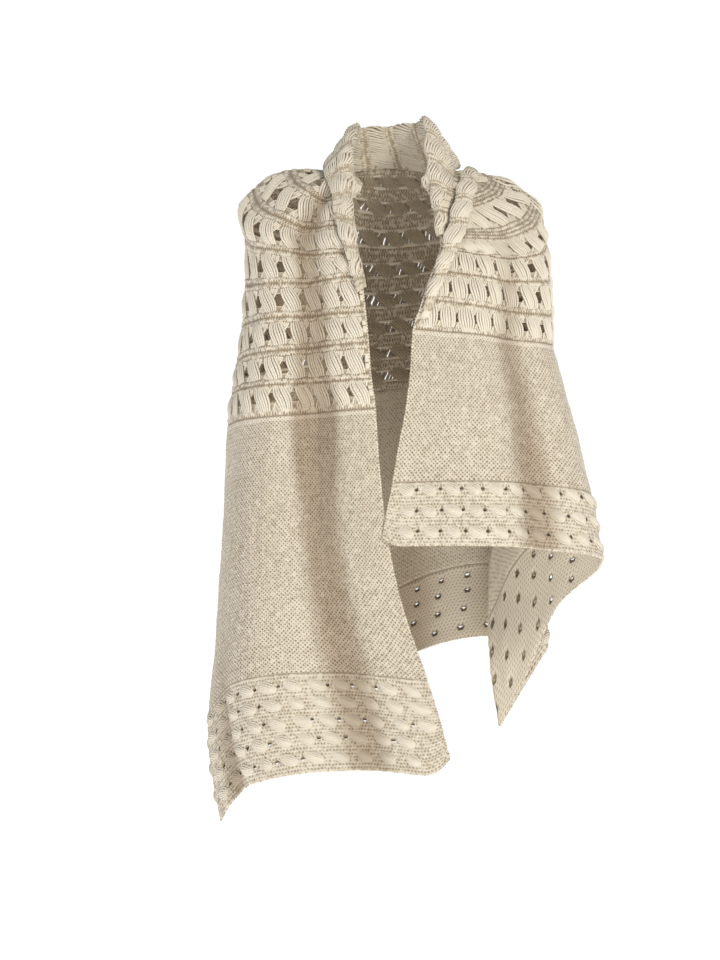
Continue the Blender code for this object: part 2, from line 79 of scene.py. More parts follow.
# Each ring follows one knitted row round the body, from the neck to the hem.
# It is open in front, and runs right edge, right side, back, left side, left edge.
RING = (
    "name", "at",
    "r_edge_x", "r_edge_y", "r_edge_z", "r_mid_z", "r_side_x", "r_side_z",
    "back_y", "back_z",
    "l_side_x", "l_side_z", "l_mid_z", "l_edge_x", "l_edge_y", "l_edge_z",
    "round", "pleat",
)
RINGS = [dict(zip(RING, row)) for row in (
    ("neck", 0.0, -0.064, -0.066, -0.020, -0.014, -0.079, -0.004,
     0.080, 0.010, 0.086, -0.004, -0.014, 0.061, -0.066, -0.020, 2.0, 0.0),
    ("ridge 1", 1.0, -0.063, -0.082, -0.052, -0.034, -0.151, 0.000,
     0.100, -0.030, 0.146, -0.008, -0.034, 0.066, -0.081, -0.048, 2.0, 0.0),
    ("ridge 2", 2.0, -0.060, -0.096, -0.083, -0.074, -0.203, -0.026,
     0.115, -0.070, 0.200, -0.032, -0.074, 0.072, -0.095, -0.082, 2.0, 0.0),
    ("shoulder tip", 2.5, -0.058, -0.104, -0.108, -0.100, -0.226, -0.053,
     0.122, -0.095, 0.221, -0.053, -0.096, 0.074, -0.102, -0.099, 2.1, 0.0),
    ("ridge 3", 3.0, -0.055, -0.111, -0.133, -0.127, -0.217, -0.106,
     0.127, -0.120, 0.230, -0.082, -0.114, 0.074, -0.107, -0.112, 2.2, 0.0),
    ("ridge 4", 4.0, -0.045, -0.120, -0.161, -0.172, -0.218, -0.168,
     0.132, -0.165, 0.234, -0.108, -0.135, 0.074, -0.112, -0.122, 2.3, 0.0),
    ("ridge 5", 5.0, -0.039, -0.127, -0.209, -0.218, -0.221, -0.226,
     0.135, -0.210, 0.238, -0.150, -0.160, 0.066, -0.118, -0.146, 2.3, 0.0),
    ("ridge 6", 6.0, -0.034, -0.131, -0.256, -0.270, -0.229, -0.282,
     0.137, -0.250, 0.240, -0.190, -0.193, 0.055, -0.124, -0.175, 2.4, 0.0),
    ("ridge 7", 7.0, -0.030, -0.133, -0.311, -0.321, -0.236, -0.331,
     0.139, -0.288, 0.241, -0.231, -0.228, 0.044, -0.129, -0.209, 2.4, 0.0),
    ("yoke foot", 8.0, -0.024, -0.134, -0.353, -0.366, -0.243, -0.376,
     0.140, -0.325, 0.243, -0.268, -0.258, 0.033, -0.132, -0.243, 2.4, 0.0),
    ("body 1", 9.0, -0.017, -0.134, -0.453, -0.463, -0.249, -0.483,
     0.143, -0.405, 0.2575, -0.327, -0.314, 0.029, -0.134, -0.302, 2.4, 0.30),
    ("body 2", 10.0, -0.005, -0.132, -0.555, -0.562, -0.255, -0.594,
     0.146, -0.482, 0.274, -0.387, -0.369, 0.022, -0.136, -0.361, 2.4, 0.60),
    ("body 3", 11.0, 0.018, -0.129, -0.658, -0.660, -0.262, -0.705,
     0.149, -0.560, 0.2875, -0.448, -0.425, 0.011, -0.138, -0.419, 2.4, 0.85),
    ("border head", 12.0, 0.054, -0.127, -0.762, -0.757, -0.272, -0.815,
     0.152, -0.637, 0.301, -0.508, -0.480, 0.001, -0.140, -0.478, 2.4, 1.0),
    ("border middle", 13.0, 0.074, -0.125, -0.834, -0.832, -0.270, -0.897,
     0.154, -0.693, 0.308, -0.553, -0.524, -0.007, -0.141, -0.521, 2.4, 1.0),
    ("hem", 14.0, 0.088, -0.123, -0.905, -0.907, -0.255, -0.980,
     0.156, -0.750, 0.316, -0.597, -0.568, -0.012, -0.142, -0.563, 2.4, 1.0),
)]

# Behind the wearer's left hip the cloth doubles back in one deep pleat: it comes round the
# side to the tip, returns to the back fold, and turns again across the back.
PLEAT = ("at", "back_fold", "tip", "flap_low", "flap_high")
PLEATS = [dict(zip(PLEAT, row)) for row in (
    (12.0, (0.240, 0.140, -0.612), (0.1515, 0.118, -0.680), (0.187, 0.098, -0.600), (0.238, 0.066, -0.545)),
    (13.0, (0.242, 0.140, -0.668), (0.1580, 0.117, -0.766), (0.197, 0.098, -0.683), (0.246, 0.064, -0.602)),
    (14.0, (0.244, 0.140, -0.724), (0.1690, 0.116, -0.846), (0.209, 0.098, -0.765), (0.254, 0.061, -0.660)),
)]

# Soft folds, pushed out (+) or in (-) across a panel. "share" runs 0 at a panel's front edge to
# 1 at its side, or on the back from 0 at the right side to 1 at the left side.
FOLD = ("name", "panel", "at_a", "share_a", "at_b", "share_b", "half", "push_a", "push_b")
FOLDS = [dict(zip(FOLD, row)) for row in (
    ("long trough", "right", 1.0, 0.42, 8.0, 0.34, 0.13, -0.013, -0.017),
    ("long trough low", "right", 8.6, 0.34, 14.0, 0.27, 0.12, -0.016, -0.012),
    ("outer swell", "right", 2.0, 0.66, 14.0, 0.60, 0.15, 0.006, 0.013),
    ("hem trough", "right", 10.0, 0.82, 14.0, 0.80, 0.08, 0.0, -0.016),
    ("edge swell", "right", 7.0, 0.08, 14.0, 0.08, 0.10, 0.003, 0.008),
    ("inner swell", "left", 6.0, 0.33, 13.0, 0.40, 0.09, 0.004, 0.009),
    ("side trough", "left", 3.0, 0.52, 14.0, 0.60, 0.11, -0.006, -0.014),
    ("side swell", "left", 4.0, 0.82, 14.0, 0.84, 0.12, 0.004, 0.009),
    ("back fold 1", "back", 6.0, 0.16, 14.0, 0.12, 0.06, -0.003, -0.016),
    ("back fold 2", "back", 6.0, 0.30, 14.0, 0.27, 0.07, 0.003, 0.014),
    ("back fold 3", "back", 7.0, 0.44, 14.0, 0.42, 0.06, -0.003, -0.013),
)]
CORNERS = (("right", 0.034, 0.028), ("left", 0.022, 0.014))  # panel, run along the hem, rise
RIGHT_REACH, LEFT_REACH = 5.6, 3.7  # the collar's foot ends above these rings on the fronts

# Collar stations from the right front end, behind the neck, to the left front end:
# where its foot meets the yoke (side, ring), the roll line, and the outer edge it falls to.
STATION = ("name", "foot", "roll", "edge", "curl")
STATIONS = [dict(zip(STATION, row)) for row in (
    ("right end", ("r_edge", 5.2), (-0.034, -0.136, -0.222), (-0.040, -0.134, -0.226), 0.0030),
    ("right low", ("r_edge", 4.0), (-0.043, -0.128, -0.165), (-0.055, -0.128, -0.172), 0.0040),
    ("right chest", ("r_edge", 3.1), (-0.051, -0.119, -0.135), (-0.068, -0.120, -0.128), 0.0045),
    ("right breast", ("r_edge", 1.8), (-0.058, -0.104, -0.080), (-0.084, -0.104, -0.074), 0.0050),
    ("right collarbone", ("r_edge", 0.7), (-0.060, -0.083, -0.035), (-0.092, -0.088, -0.038), 0.0060),
    ("right neck", ("ring", 0.055), (-0.060, -0.055, 0.015), (-0.099, -0.045, -0.004), 0.0070),
    ("right shoulder", ("ring", 0.20), (-0.053, -0.005, 0.055), (-0.102, 0.004, 0.000), 0.0080),
    ("right nape", ("ring", 0.36), (-0.040, 0.042, 0.062), (-0.074, 0.072, -0.004), 0.0080),
    ("nape", ("ring", 0.50), (0.000, 0.062, 0.067), (0.000, 0.097, -0.012), 0.0080),
    ("left nape", ("ring", 0.64), (0.041, 0.042, 0.070), (0.076, 0.072, -0.004), 0.0080),
    ("left shoulder", ("ring", 0.80), (0.054, -0.005, 0.072), (0.104, 0.004, 0.000), 0.0080),
    ("left neck", ("ring", 0.945), (0.056, -0.055, 0.020), (0.094, -0.045, -0.012), 0.0070),
    ("left collarbone", ("l_edge", 0.9), (0.062, -0.085, -0.040), (0.089, -0.086, -0.047), 0.0060),
    ("left breast", ("l_edge", 2.2), (0.070, -0.102, -0.085), (0.080, -0.101, -0.086), 0.0050),
    ("left end", ("l_edge", 3.0), (0.071, -0.111, -0.112), (0.076, -0.110, -0.112), 0.0040),
)]

# The left front's own edge stands up in a narrow roll that starts on the shoulder: the line
# of its fold, and the width and height of the roll there.
LAPEL = ("name", "fold", "width", "height")
LAPELS = [dict(zip(LAPEL, row)) for row in (
    ("shoulder", (0.112, -0.010, -0.008), 0.018, 0.010),
    ("collarbone", (0.102, -0.060, -0.032), 0.022, 0.013),
    ("breast", (0.092, -0.092, -0.070), 0.024, 0.014),
    ("chest", (0.083, -0.106, -0.104), 0.024, 0.013),
    ("bust", (0.072, -0.116, -0.141), 0.020, 0.010),
    ("under bust", (0.057, -0.124, -0.185), 0.015, 0.008),
    ("end", (0.044, -0.130, -0.228), 0.010, 0.006),
)]

# Where the garter ridges between two bands of long stitches lie, by ring, the width of one
# crossing of long stitches, and how far each band's leaves lean, as a share of that width.
YOKES = {
    "right_front": (
        (0.0, 1.0, 2.07, 2.92, 4.05, 5.17, 6.12, 7.12, 8.1), 0.033,
        (0.46, 0.44, 0.42, 0.40, 0.40, 0.40, 0.40, 0.40),
    ),
    "back": ((0.0, 1.0, 2.0, 3.0, 4.0, 5.0, 6.0, 7.0, 8.0), 0.034, (0.42,) * 8),
    "left_front": ((0.0, 1.25, 2.5, 4.0, 5.33, 6.67, 8.0), 0.030, (0.80, 0.70, 0.55, 0.44, 0.40, 0.38)),
}
BROAD = {"right_front": (), "back": (), "left_front": (1, 2)}  # ridges with twice as many rows
BROAD_FURROW = 5.9  # such a ridge has furrows half this many rows off its middle
SHEET_SHARE = 0.32  # share of a band that is closed knitting, above and below its ridge
LACE_ROWS = 6  # rows of the lattice across the open part of a band
LACE_MARGIN = 0.006  # plain strip at each end of a band
LACE_TUCK = 0.0076  # long stitches run in under the ridges by this much
# Crossings of long stitches: how many strands and how far apart in the broad leaf on top, the same
# in the bundle behind it, a strand's radius, how high it stands, its knots and its sides.
CROSSING = ("leaf", "behind", "radius", "high", "knots", "sides")
CROSSINGS = {name: dict(zip(CROSSING, row)) for name, row in (
    ("front", ((6, 0.0029), (4, 0.0029), 0.0017, 0.0014, 7, 6)),
    ("back", ((8, 0.0036), (6, 0.0038), 0.0021, 0.0014, 5, 5)),
    ("roll", ((7, 0.0028), (4, 0.0030), 0.0017, 0.0008, 7, 5)),
)}
# The ring that the border starts on, the rings that its rows of leaves lie on, their spacing
# along a row, and the half width and half height of an eyelet.
BORDERS = {
    "right_front": (12.0, (12.22, 12.58, 12.96, 13.32, 13.70), 0.033, (0.0062, 0.0060)),
    "left_front": (11.84, (12.06, 12.80, 13.54), 0.0295, (0.0058, 0.0066)),
    "back": (12.0, (12.20, 12.66, 13.12, 13.60), 0.038, (0.0036, 0.0055)),
}
BORDER_MARGIN = 0.016  # no leaf starts this near the ends of a row
ROW_STAGGER = 0.0035  # each row of leaves starts this much further round than the one above
LEAF_UP, LEAF_DOWN, LEAF_LEAN = 0.0050, 0.0060, 0.0100  # reach of a leaf above, below and aside
LEAF_HALF, LEAF_PUFF, LEAF_YARN = 0.0064, 0.0050, 0.0017  # its half width, its crown, its strands
EYELET_UP, EYELET_ASIDE = 0.0030, 0.0150  # an eyelet lies this far above and beside its leaf's middle

# The collar and the lapel
ROLL_GARTER, ROLL_LACE_ROWS = 0.020, 10  # length of a zone of beads, and rows of a zone of leaves
ROLL_EDGE = 0.004  # plain strip along the edges and at the start
ROLL_STEP = 0.004  # from knot to knot of their nets
ROLL_LEAF, LEAF_ROOM = 0.026, 0.006  # width of a leaf, and width left beside the leaves
ROLL_TUCK = 0.003  # the leaves run in under the beads by this much
ROLL_EYELET = (0.003, 0.004)

# Chain stitches along the open edges
EDGE_PITCH, EDGE_INSET = 0.0043, 0.0006
EDGE_STITCH = (0.0025, 0.0019, 0.0021)

# Relief of the rows of knitting, top to foot, at even and odd half stitches: a zone of the yoke
# between two windows, with two garter ridges and the web that the long stitches lie on at each
# end, the same with four ridges, a zone of the collar, and the garter ground of the border.
EDGE, FURROW, SOFT = (0.0002, 0.0002), (-0.0008, -0.0004), (0.0001, -0.0007)
BUMPS = ((0.0004, 0.0000), (0.0011, 0.0008), (0.0013, 0.0013), (0.0008, 0.0011), (0.0000, 0.0004))
WEB = ((-0.0006, -0.0009), (-0.0006, -0.0010), (-0.0005, -0.0009))
YOKE_ZONE = (EDGE, *WEB, SOFT, *BUMPS, FURROW, *BUMPS[::-1], SOFT, *WEB)
RIDGE = ((0.0005, 0.0010), (0.0010, 0.0005))
BROAD_ZONE = (EDGE, *WEB, SOFT, *RIDGE, FURROW, *RIDGE, FURROW, *RIDGE, FURROW, *RIDGE, SOFT, *WEB)
ROLL_BUMPS = ((0.0003, 0.0000), (0.0010, 0.0009), (0.0009, 0.0010), (0.0000, 0.0003))
ROLL_ZONE = (EDGE, FURROW, *ROLL_BUMPS, FURROW, *ROLL_BUMPS, FURROW)
GROUND = (
    (-0.0009, 0.0003), (0.0008, 0.0001), (0.0002, 0.0009),
    (0.0003, -0.0009), (0.0001, 0.0008), (0.0009, 0.0002),
)
# Beads of garter on the knit map: rows from one furrow to the next, the first furrow's row, how far
# a ridge lies from its furrow, how far it sways, its half width, and where the garter ends.
YOKE_BEADS = (26, 0, 3.1, 1.6, 2.3, 6.2)
BORDER_BEADS = (6, 0, 1.5, 0.8, 1.5, 9.0)
ROLL_BEADS = (22, 7, 2.5, 1.3, 2.0, 5.0)


# ---------------------------------------------------------------- drawing the cloth
def slopes(at, values):
    """Tangents for a smooth line through values, one row per place in at."""
    step = np.diff(at)
    shape = (-1,) + (1,) * (values.ndim - 1)
    chord = np.diff(values, axis=0) / step.reshape(shape)
    ahead = step[1:].reshape(shape)
    behind = step[:-1].reshape(shape)
    middle = (chord[:-1] * ahead + chord[1:] * behind) / (ahead + behind)
    return np.concatenate([chord[:1], middle, chord[-1:]])


def through(at, values, where):
    """A smooth line through values, read at where. Beyond the ends it goes straight on."""
    at = np.asarray(at, float)
    values = np.asarray(values, float)
    where = np.asarray(where, float)
    tangent = slopes(at, values)
    i = np.clip(np.searchsorted(at, where) - 1, 0, len(at) - 2)
    step = at[i + 1] - at[i]
    over = np.where(where < at[0], where - at[0], np.where(where > at[-1], where - at[-1], 0.0))
    t = (where - over - at[i]) / step
    shape = (-1,) + (1,) * (values.ndim - 1)
    t = t.reshape(shape)
    step = step.reshape(shape)
    over = over.reshape(shape)
    a, b = values[i], values[i + 1]
    ma, mb = tangent[i], tangent[i + 1]
    line = (
        (2 * t**3 - 3 * t**2 + 1) * a
        + (t**3 - 2 * t**2 + t) * step * ma
        + (3 * t**2 - 2 * t**3) * b
        + (t**3 - t**2) * step * mb
    )
    return line + over * np.where(over < 0, ma, mb)


def quarter(start, end, z_three, angles, exponent):
    """Points of a rounded quarter from start (across the body) to end (at the side), in plan.

    z_three holds the heights at the start, half way and at the end.
    """
    points = []
    for angle in angles:
        across = math.sin(math.radians(angle)) ** (2 / exponent)
        along = math.cos(math.radians(angle)) ** (2 / exponent)
        x = start[0] + (end[0] - start[0]) * across
        y = end[1] + (start[1] - end[1]) * along
        share = angle / 90
        a, m, b = z_three
        z = a * (1 - share) * (1 - 2 * share) + 4 * m * share * (1 - share) + b * share * (2 * share - 1)
        points.append((x, y, z))
    return points


FRONT_ANGLES = (0, 20, 42, 66)
BACK_ANGLES = (66, 44, 22)
PLEAT_ANGLES = (10, 22, 33, 37, 41, 47, 51, 55, 66, 78)
R_SIDE, BACK, L_SIDE, LAST = 4, 8, 19, 23  # places of these in the list of points of a ring


def ring_points(ring, pull):
    """The 24 points that one ring runs through. pull moves the ten of the pleat off the plain round."""
    side_r = (ring["r_side_x"], 0.0)
    side_l = (ring["l_side_x"], 0.0)
    back = (0.0, ring["back_y"])
    edge_r = (ring["r_edge_x"], ring["r_edge_y"])
    edge_l = (ring["l_edge_x"], ring["l_edge_y"])
    n = ring["round"]
    right_z = (ring["r_edge_z"], ring["r_mid_z"], ring["r_side_z"])
    left_z = (ring["l_edge_z"], ring["l_mid_z"], ring["l_side_z"])
    back_r = (ring["back_z"], 0.5 * (ring["back_z"] + ring["r_side_z"]), ring["r_side_z"])
    back_l = (ring["back_z"], 0.5 * (ring["back_z"] + ring["l_side_z"]), ring["l_side_z"])
    points = quarter(edge_r, side_r, right_z, FRONT_ANGLES, n)
    points += quarter(back, side_r, back_r, (90, *BACK_ANGLES), n)
    points += quarter(back, side_l, back_l, (0,), n)
    pleat = np.array(quarter(back, side_l, back_l, PLEAT_ANGLES, n)) + pull
    points += [tuple(p) for p in pleat]
    points += quarter(edge_l, side_l, left_z, (90, *FRONT_ANGLES[::-1]), n)
    return np.array(points)


def run_along(line):
    """Metres run along a line of points, from 0 at its first."""
    return np.concatenate([[0.0], np.cumsum(np.linalg.norm(np.diff(line, axis=0), axis=1))])


def pleated(ring, pleat):
    """How far the ten points of the pleat stand off the plain round of this ring."""
    plain = ring_points(ring, 0)[BACK + 1 : L_SIDE]
    fold = np.array(pleat["back_fold"])
    tip = np.array(pleat["tip"])
    run = tip - fold
    lean = run * (PLEAT_ROUND / abs(run[0]))
    back = np.array((0.0, ring["back_y"], ring["back_z"]))
    third = fold + (0, PLEAT_OPEN, 0)
    low = np.array(pleat["flap_low"])
    near = low - tip
    rise = near * (PLEAT_ROUND / abs(near[0]))
    points = np.array([
        back + (third - back) * 0.30 + (0, 0.004, 0.022),
        back + (third - back) * 0.64 + (0, 0.006, 0.026),
        third + (-PLEAT_ROUND, 0, 0.003),
        fold,
        fold + lean - (0, PLEAT_OPEN, 0) - (0, lean[1], 0),
        tip - lean + (0, PLEAT_OPEN, 0) + (0, lean[1], 0),
        tip,
        tip + rise - (0, PLEAT_OPEN, 0) - (0, rise[1], 0),
        low,
        pleat["flap_high"],
    ])
    return points - plain


def all_rings():
    """Every ring's points, (rings, 24, 3)."""
    low = {pleat["at"]: pleat for pleat in PLEATS}
    full = pleated(RINGS[-3], PLEATS[0])
    found = []
    for ring in RINGS:
        if ring["at"] in low:
            pull = pleated(ring, low[ring["at"]])
        else:
            pull = full * ring["pleat"]
        found.append(ring_points(ring, pull))
    return np.array(found)


RING_AT = np.array([ring["at"] for ring in RINGS])
RING_POINTS = all_rings()
STEPS = np.linalg.norm(np.diff(RING_POINTS[-6:], axis=1), axis=2).mean(axis=0)
PLACES = np.concatenate([[0.0], np.cumsum(STEPS)])  # metres along a ring, at its points
SIDE_R, SIDE_L, END = PLACES[R_SIDE], PLACES[L_SIDE], PLACES[LAST]
PANELS = {"right": (0.0, SIDE_R), "back": (SIDE_R, SIDE_L), "left": (END, SIDE_L)}
SPANS = {"right_front": (0.0, SIDE_R), "back": (SIDE_R, SIDE_L), "left_front": (SIDE_L, END)}


def bare(at, place):
    """Points of the smooth cloth at rings at and places place, (rings, places, 3)."""
    rings = through(RING_AT, RING_POINTS, at)
    return through(PLACES, rings.transpose(1, 0, 2), place).transpose(1, 0, 2)


def facing(surface, at, place, step=2e-4):
    """Outward unit normals of a surface."""
    along = surface(at, place + step) - surface(at, place - step)
    down = surface(at + step * 10, place) - surface(at - step * 10, place)
    out = np.cross(along, down)
    return out / np.linalg.norm(out, axis=2, keepdims=True)


def push(at, place):
    """How far the folds stand out, (rings, places)."""
    total = np.zeros((len(at), len(place)))
    for fold in FOLDS:
        first, last = PANELS[fold["panel"]]
        share = (place - first) / (last - first)
        run = (at - fold["at_a"]) / (fold["at_b"] - fold["at_a"])
        held = np.clip(run, 0, 1)
        centre = fold["share_a"] + (fold["share_b"] - fold["share_a"]) * held
        depth = fold["push_a"] + (fold["push_b"] - fold["push_a"]) * held
        fade = np.clip(1 - np.maximum(-run, run - 1) * (fold["at_b"] - fold["at_a"]) / FOLD_FADE, 0, 1)
        inside = (share > -0.001) & (share < 1.001)
        bell = np.exp(-(((share[None, :] - centre[:, None]) / fold["half"]) ** 2))
        room = np.minimum(share, 1 - share) if fold["panel"] == "back" else 1 - share
        rest = np.clip(room / SEAM_CALM, 0, 1)
        ends = rest * rest * (3 - 2 * rest)
        total += (depth * fade)[:, None] * bell * np.where(inside, ends, 0.0)[None, :]
    return total


def cloth(at, place):
    """The middle of the cloth, with folds and rounded front corners."""
    points = bare(at, place) + facing(bare, at, place) * push(at, place)[:, :, None]
    low = np.clip((at - BORDER_HEAD) / (HEM - BORDER_HEAD), 0, None) ** 2
    for panel, run, rise in CORNERS:
        edge = PANELS[panel][0]
        near = np.clip(1 - np.abs(place - edge) / run, 0, 1) ** 2
        points[:, :, 2] += rise * low[:, None] * near[None, :]
    return points


# ---------------------------------------------------------------- nets that stitches are placed on
def ripple(row, column):
    """The uneven, hand-knit wander of a surface, in metres, from its rows and columns."""
    slow = np.sin(row * 2.3 + column * 31.0) * np.sin(column * 57.0 - row * 1.1 + 0.7)
    quick = np.sin(row * 6.1 - column * 83.0 + 1.9) * np.sin(column * 121.0 + row * 3.7)
    return 0.0009 * slow + 0.0005 * quick


def net_of(rows, columns, points, out=None):
    """A fine net over a surface: its points, outward normals, and metres per unit of row and column."""
    down = np.gradient(points, rows, axis=0)
    along = np.gradient(points, columns, axis=1)
    if out is None:
        out = np.cross(along, down)
        out /= np.linalg.norm(out, axis=2, keepdims=True)
    scale = np.stack([np.linalg.norm(down, axis=2), np.linalg.norm(along, axis=2)], axis=2)
    return {"rows": rows, "columns": columns, "points": points, "out": out, "scale": scale}


def read(net, what, row, column):
    """Values of a net at any rows and columns, between its knots."""
    rows, columns, values = net["rows"], net["columns"], net[what]
    i = np.clip((row - rows[0]) / (rows[1] - rows[0]), 0, len(rows) - 1.001)
    j = np.clip((column - columns[0]) / (columns[1] - columns[0]), 0, len(columns) - 1.001)
    i0, j0 = i.astype(int), j.astype(int)
    fi, fj = (i - i0)[..., None], (j - j0)[..., None]
    upper = values[i0, j0] * (1 - fj) + values[i0, j0 + 1] * fj
    lower = values[i0 + 1, j0] * (1 - fj) + values[i0 + 1, j0 + 1] * fj
    return upper * (1 - fi) + lower * fi


def scale_at(net, row, column):
    """Metres per unit of row and of column at one place of a net."""
    return read(net, "scale", np.array([row]), np.array([column]))[0]


def outward(net, row, column):
    """Unit normals of a net at any rows and columns."""
    out = read(net, "out", row, column)
    return out / np.linalg.norm(out, axis=-1, keepdims=True)


def on(net, row, column, lift):
    """Points standing lift metres outside the middle of the cloth."""
    return read(net, "points", row, column) + outward(net, row, column) * lift[..., None]


def length_of(net, row, column):
    """Length of a line on a net. One of row and column runs along it, the other stays."""
    line = read(net, "points", *np.broadcast_arrays(row, column))
    return np.linalg.norm(np.diff(line, axis=0), axis=1).sum()


def span(net, row, first, last):
    """Length of a row between two columns."""
    return length_of(net, row, np.linspace(first, last, 200))


def garment_net():
    """The net of the whole cloth from the neck to the hem, a little past its edges."""
    rows = np.linspace(-0.1, HEM + 0.1, 285)  # twenty to a ring
    columns = np.linspace(-0.004, END + 0.004, 641)
    out = facing(cloth, rows, columns)
    uneven = ripple(rows[:, None], columns[None, :])
    return net_of(rows, columns, cloth(rows, columns) + out * uneven[..., None], out)


GARMENT = garment_net()
# How far the folds push in; the finishes darken the fold troughs by it, as painted shade.
GARMENT["hollow"] = np.maximum(-push(GARMENT["rows"], GARMENT["columns"]), 0.0)[..., None]


def yoke_net():
    """The smooth yoke that the collar and the lapel are laid on."""
    rows = np.linspace(0, YOKE_FOOT, 161)
    columns = np.linspace(0, END, 701)
    return {"points": cloth(rows, columns), "out": facing(cloth, rows, columns)}


YOKE = yoke_net()
YOKE_ROWS = 9  # knots down the open edge of the yoke
COLUMN_PITCH = 0.026  # and the widest step between knots round the neck
CLEAR = 0.004  # knots that the ends crowd closer than this are passed over


def spread(first, last, places, pitch):
    """Places from first to last, none over pitch apart, through those of places well between them."""
    stops = [first] + [p for p in places if first + CLEAR < p < last - CLEAR] + [last]
    found = [first]
    for a, b in zip(stops, stops[1:]):
        count = max(1, math.ceil((b - a) / pitch))
        found += [a + (b - a) * (k + 1) / count for k in range(count)]
    return np.array(found)


def laid(rough, lift):
    """The point lift above the outside of the cloth, over the cloth's own nearest point."""
    away = np.linalg.norm(YOKE["points"] - np.array(rough), axis=2)
    i, j = np.unravel_index(away.argmin(), away.shape)
    return YOKE["points"][i, j] + YOKE["out"][i, j] * lift


def yoke_edge():
    """The yoke's open edge as its panels have it, from the right front up, behind the neck and down.

    Returns the edge's points, the way the cloth runs off there, its outward normals, and for each
    point the (edge, value) that a collar station's foot can name.
    """
    rows = np.linspace(0.0, YOKE_FOOT, YOKE_ROWS + 1)
    columns = spread(0.0, END, PLACES, COLUMN_PITCH)[::2]
    columns[-1] = END
    start, end = np.array([0.0]), np.array([END])
    # Each leg: its rows, its columns, and the step inwards from the edge.
    legs = {
        "r_edge": (rows[rows < RIGHT_REACH][:0:-1], start, (0.0, 0.004)),
        "ring": (start, columns, (0.05, 0.0)),
        "l_edge": (rows[rows < LEFT_REACH][1:], end, (0.0, -0.004)),
    }
    points, away, out, names = [], [], [], []
    for leg, (at, place, (down, along)) in legs.items():
        here = cloth(at, place)
        points.append(here.reshape(-1, 3))
        away.append((here - cloth(at + down, place + along)).reshape(-1, 3))
        out.append(facing(cloth, at, place).reshape(-1, 3))
        names += [(leg, value) for value in (place / END if leg == "ring" else at)]
    away = np.concatenate(away)
    away /= np.linalg.norm(away, axis=1, keepdims=True)
    # The two corners stand clear of both edges that meet there.
    for name in (("ring", 0.0), ("ring", 1.0)):
        i = names.index(name)
        away[i] = away[i - 1] + away[i + 1]
    return np.concatenate(points), away, np.concatenate(out), names


def collar_grid():
    """The collar's points: from its foot on the yoke, up to the roll, over and down to its edge."""
    points, away, out, names = yoke_edge()
    along = run_along(points)
    found = []
    for station in STATIONS:
        leg, value = station["foot"]
        on_leg = [i for i, name in enumerate(names) if name[0] == leg]
        values = np.array([names[i][1] for i in on_leg])
        order = np.argsort(values)
        found.append(np.interp(value, values[order], along[on_leg][order]))
    keep = (along >= found[0] - 1e-6) & (along <= found[-1] + 1e-6)
    points, away, out, along = points[keep], away[keep], out[keep], along[keep]
    edges = np.array([laid(station["edge"], COLLAR_LIFT) for station in STATIONS])
    roll = through(found, [station["roll"] for station in STATIONS], along)
    edge = through(found, edges, along)
    curl = through(found, [[station["curl"]] for station in STATIONS], along)
    foot = points + away * SEAM
    first = foot + away * 0.0025
    rise = foot * 0.5 + roll * 0.5 + away * 0.001 - out * 0.0005
    # The crown of the roll stands off both the stand and the turned-over part.
    crown = roll + (roll - foot) * 0.06 + out * curl * 0.55
    over = roll * 0.55 + edge * 0.45 + out * curl * 0.85
    lines = np.stack([foot, first, rise, roll, crown, over, edge])
    across = (0, 0.06, 0.30, 0.52, 0.60, 0.80, 1.0)
    return through(across, lines, (0, 0.06, 0.24, 0.40, 0.51, 0.58, 0.66, 0.82, 1.0))


def lapel_grid():
    """The roll of the left front's edge, from its foot on the yoke, round, to its free edge."""
    # Each line of the roll: its run from the fold as a share of the width, and its rise of the height.
    around = ((0.78, 0.0), (0.45, 0.32), (0.0, 0.52), (0.04, 0.86), (0.42, 1.06), (1.0, 0.62))
    stops = []
    for station in LAPELS:
        fold = np.array(station["fold"])
        away = np.array((1.0, 0.0, -0.3) if station["name"] == "shoulder" else (1.0, 0.15, 0.0))
        stops.append([
            laid(fold + away * station["width"] * run, LAPEL_FOOT + station["height"] * rise)
            for run, rise in around
        ])
    stops = np.array(stops)
    along = run_along(stops[:, 2])
    lines = through(along, stops, spread(0, along[-1], along[1:-1], 0.030))
    across = np.linspace(0, 1, len(around))
    return through(across, lines.transpose(1, 0, 2), (0, 0.2, 0.32, 0.42, 0.5, 0.6, 0.8, 1.0))


def roll_net(grid, width_steps, outside):
    """The net of a collar or lapel: rows run along its length, columns across it.

    grid is (across, along, 3) from the sewn edge to the free edge, and outside is a direction that
    the middle of the free half faces.
    """
    along = run_along(grid[grid.shape[0] // 2])
    steps = np.linalg.norm(np.diff(grid, axis=0), axis=2).mean(axis=1)
    across = np.concatenate([[0], np.cumsum(steps)]) / steps.sum()
    rows = np.linspace(0, along[-1], round(along[-1] / ROLL_STEP))
    columns = np.linspace(0, 1, width_steps)
    points = through(along, grid.transpose(1, 0, 2), rows)
    points = through(across, points.transpose(1, 0, 2), columns).transpose(1, 0, 2)
    made = net_of(rows, columns, points)
    middle = made["out"][len(rows) // 2, int(width_steps * 0.8)]
    if middle @ np.array(outside) < 0:
        made = net_of(rows, columns, points[:, ::-1])
    uneven = ripple(rows[:, None] * 12, columns[None, :] * 0.1)
    made["points"] = made["points"] + made["out"] * uneven[..., None] * 0.7
    # The collar and the lapel get no painted fold shade.
    made["hollow"] = np.zeros((*uneven.shape, 1))
    return made


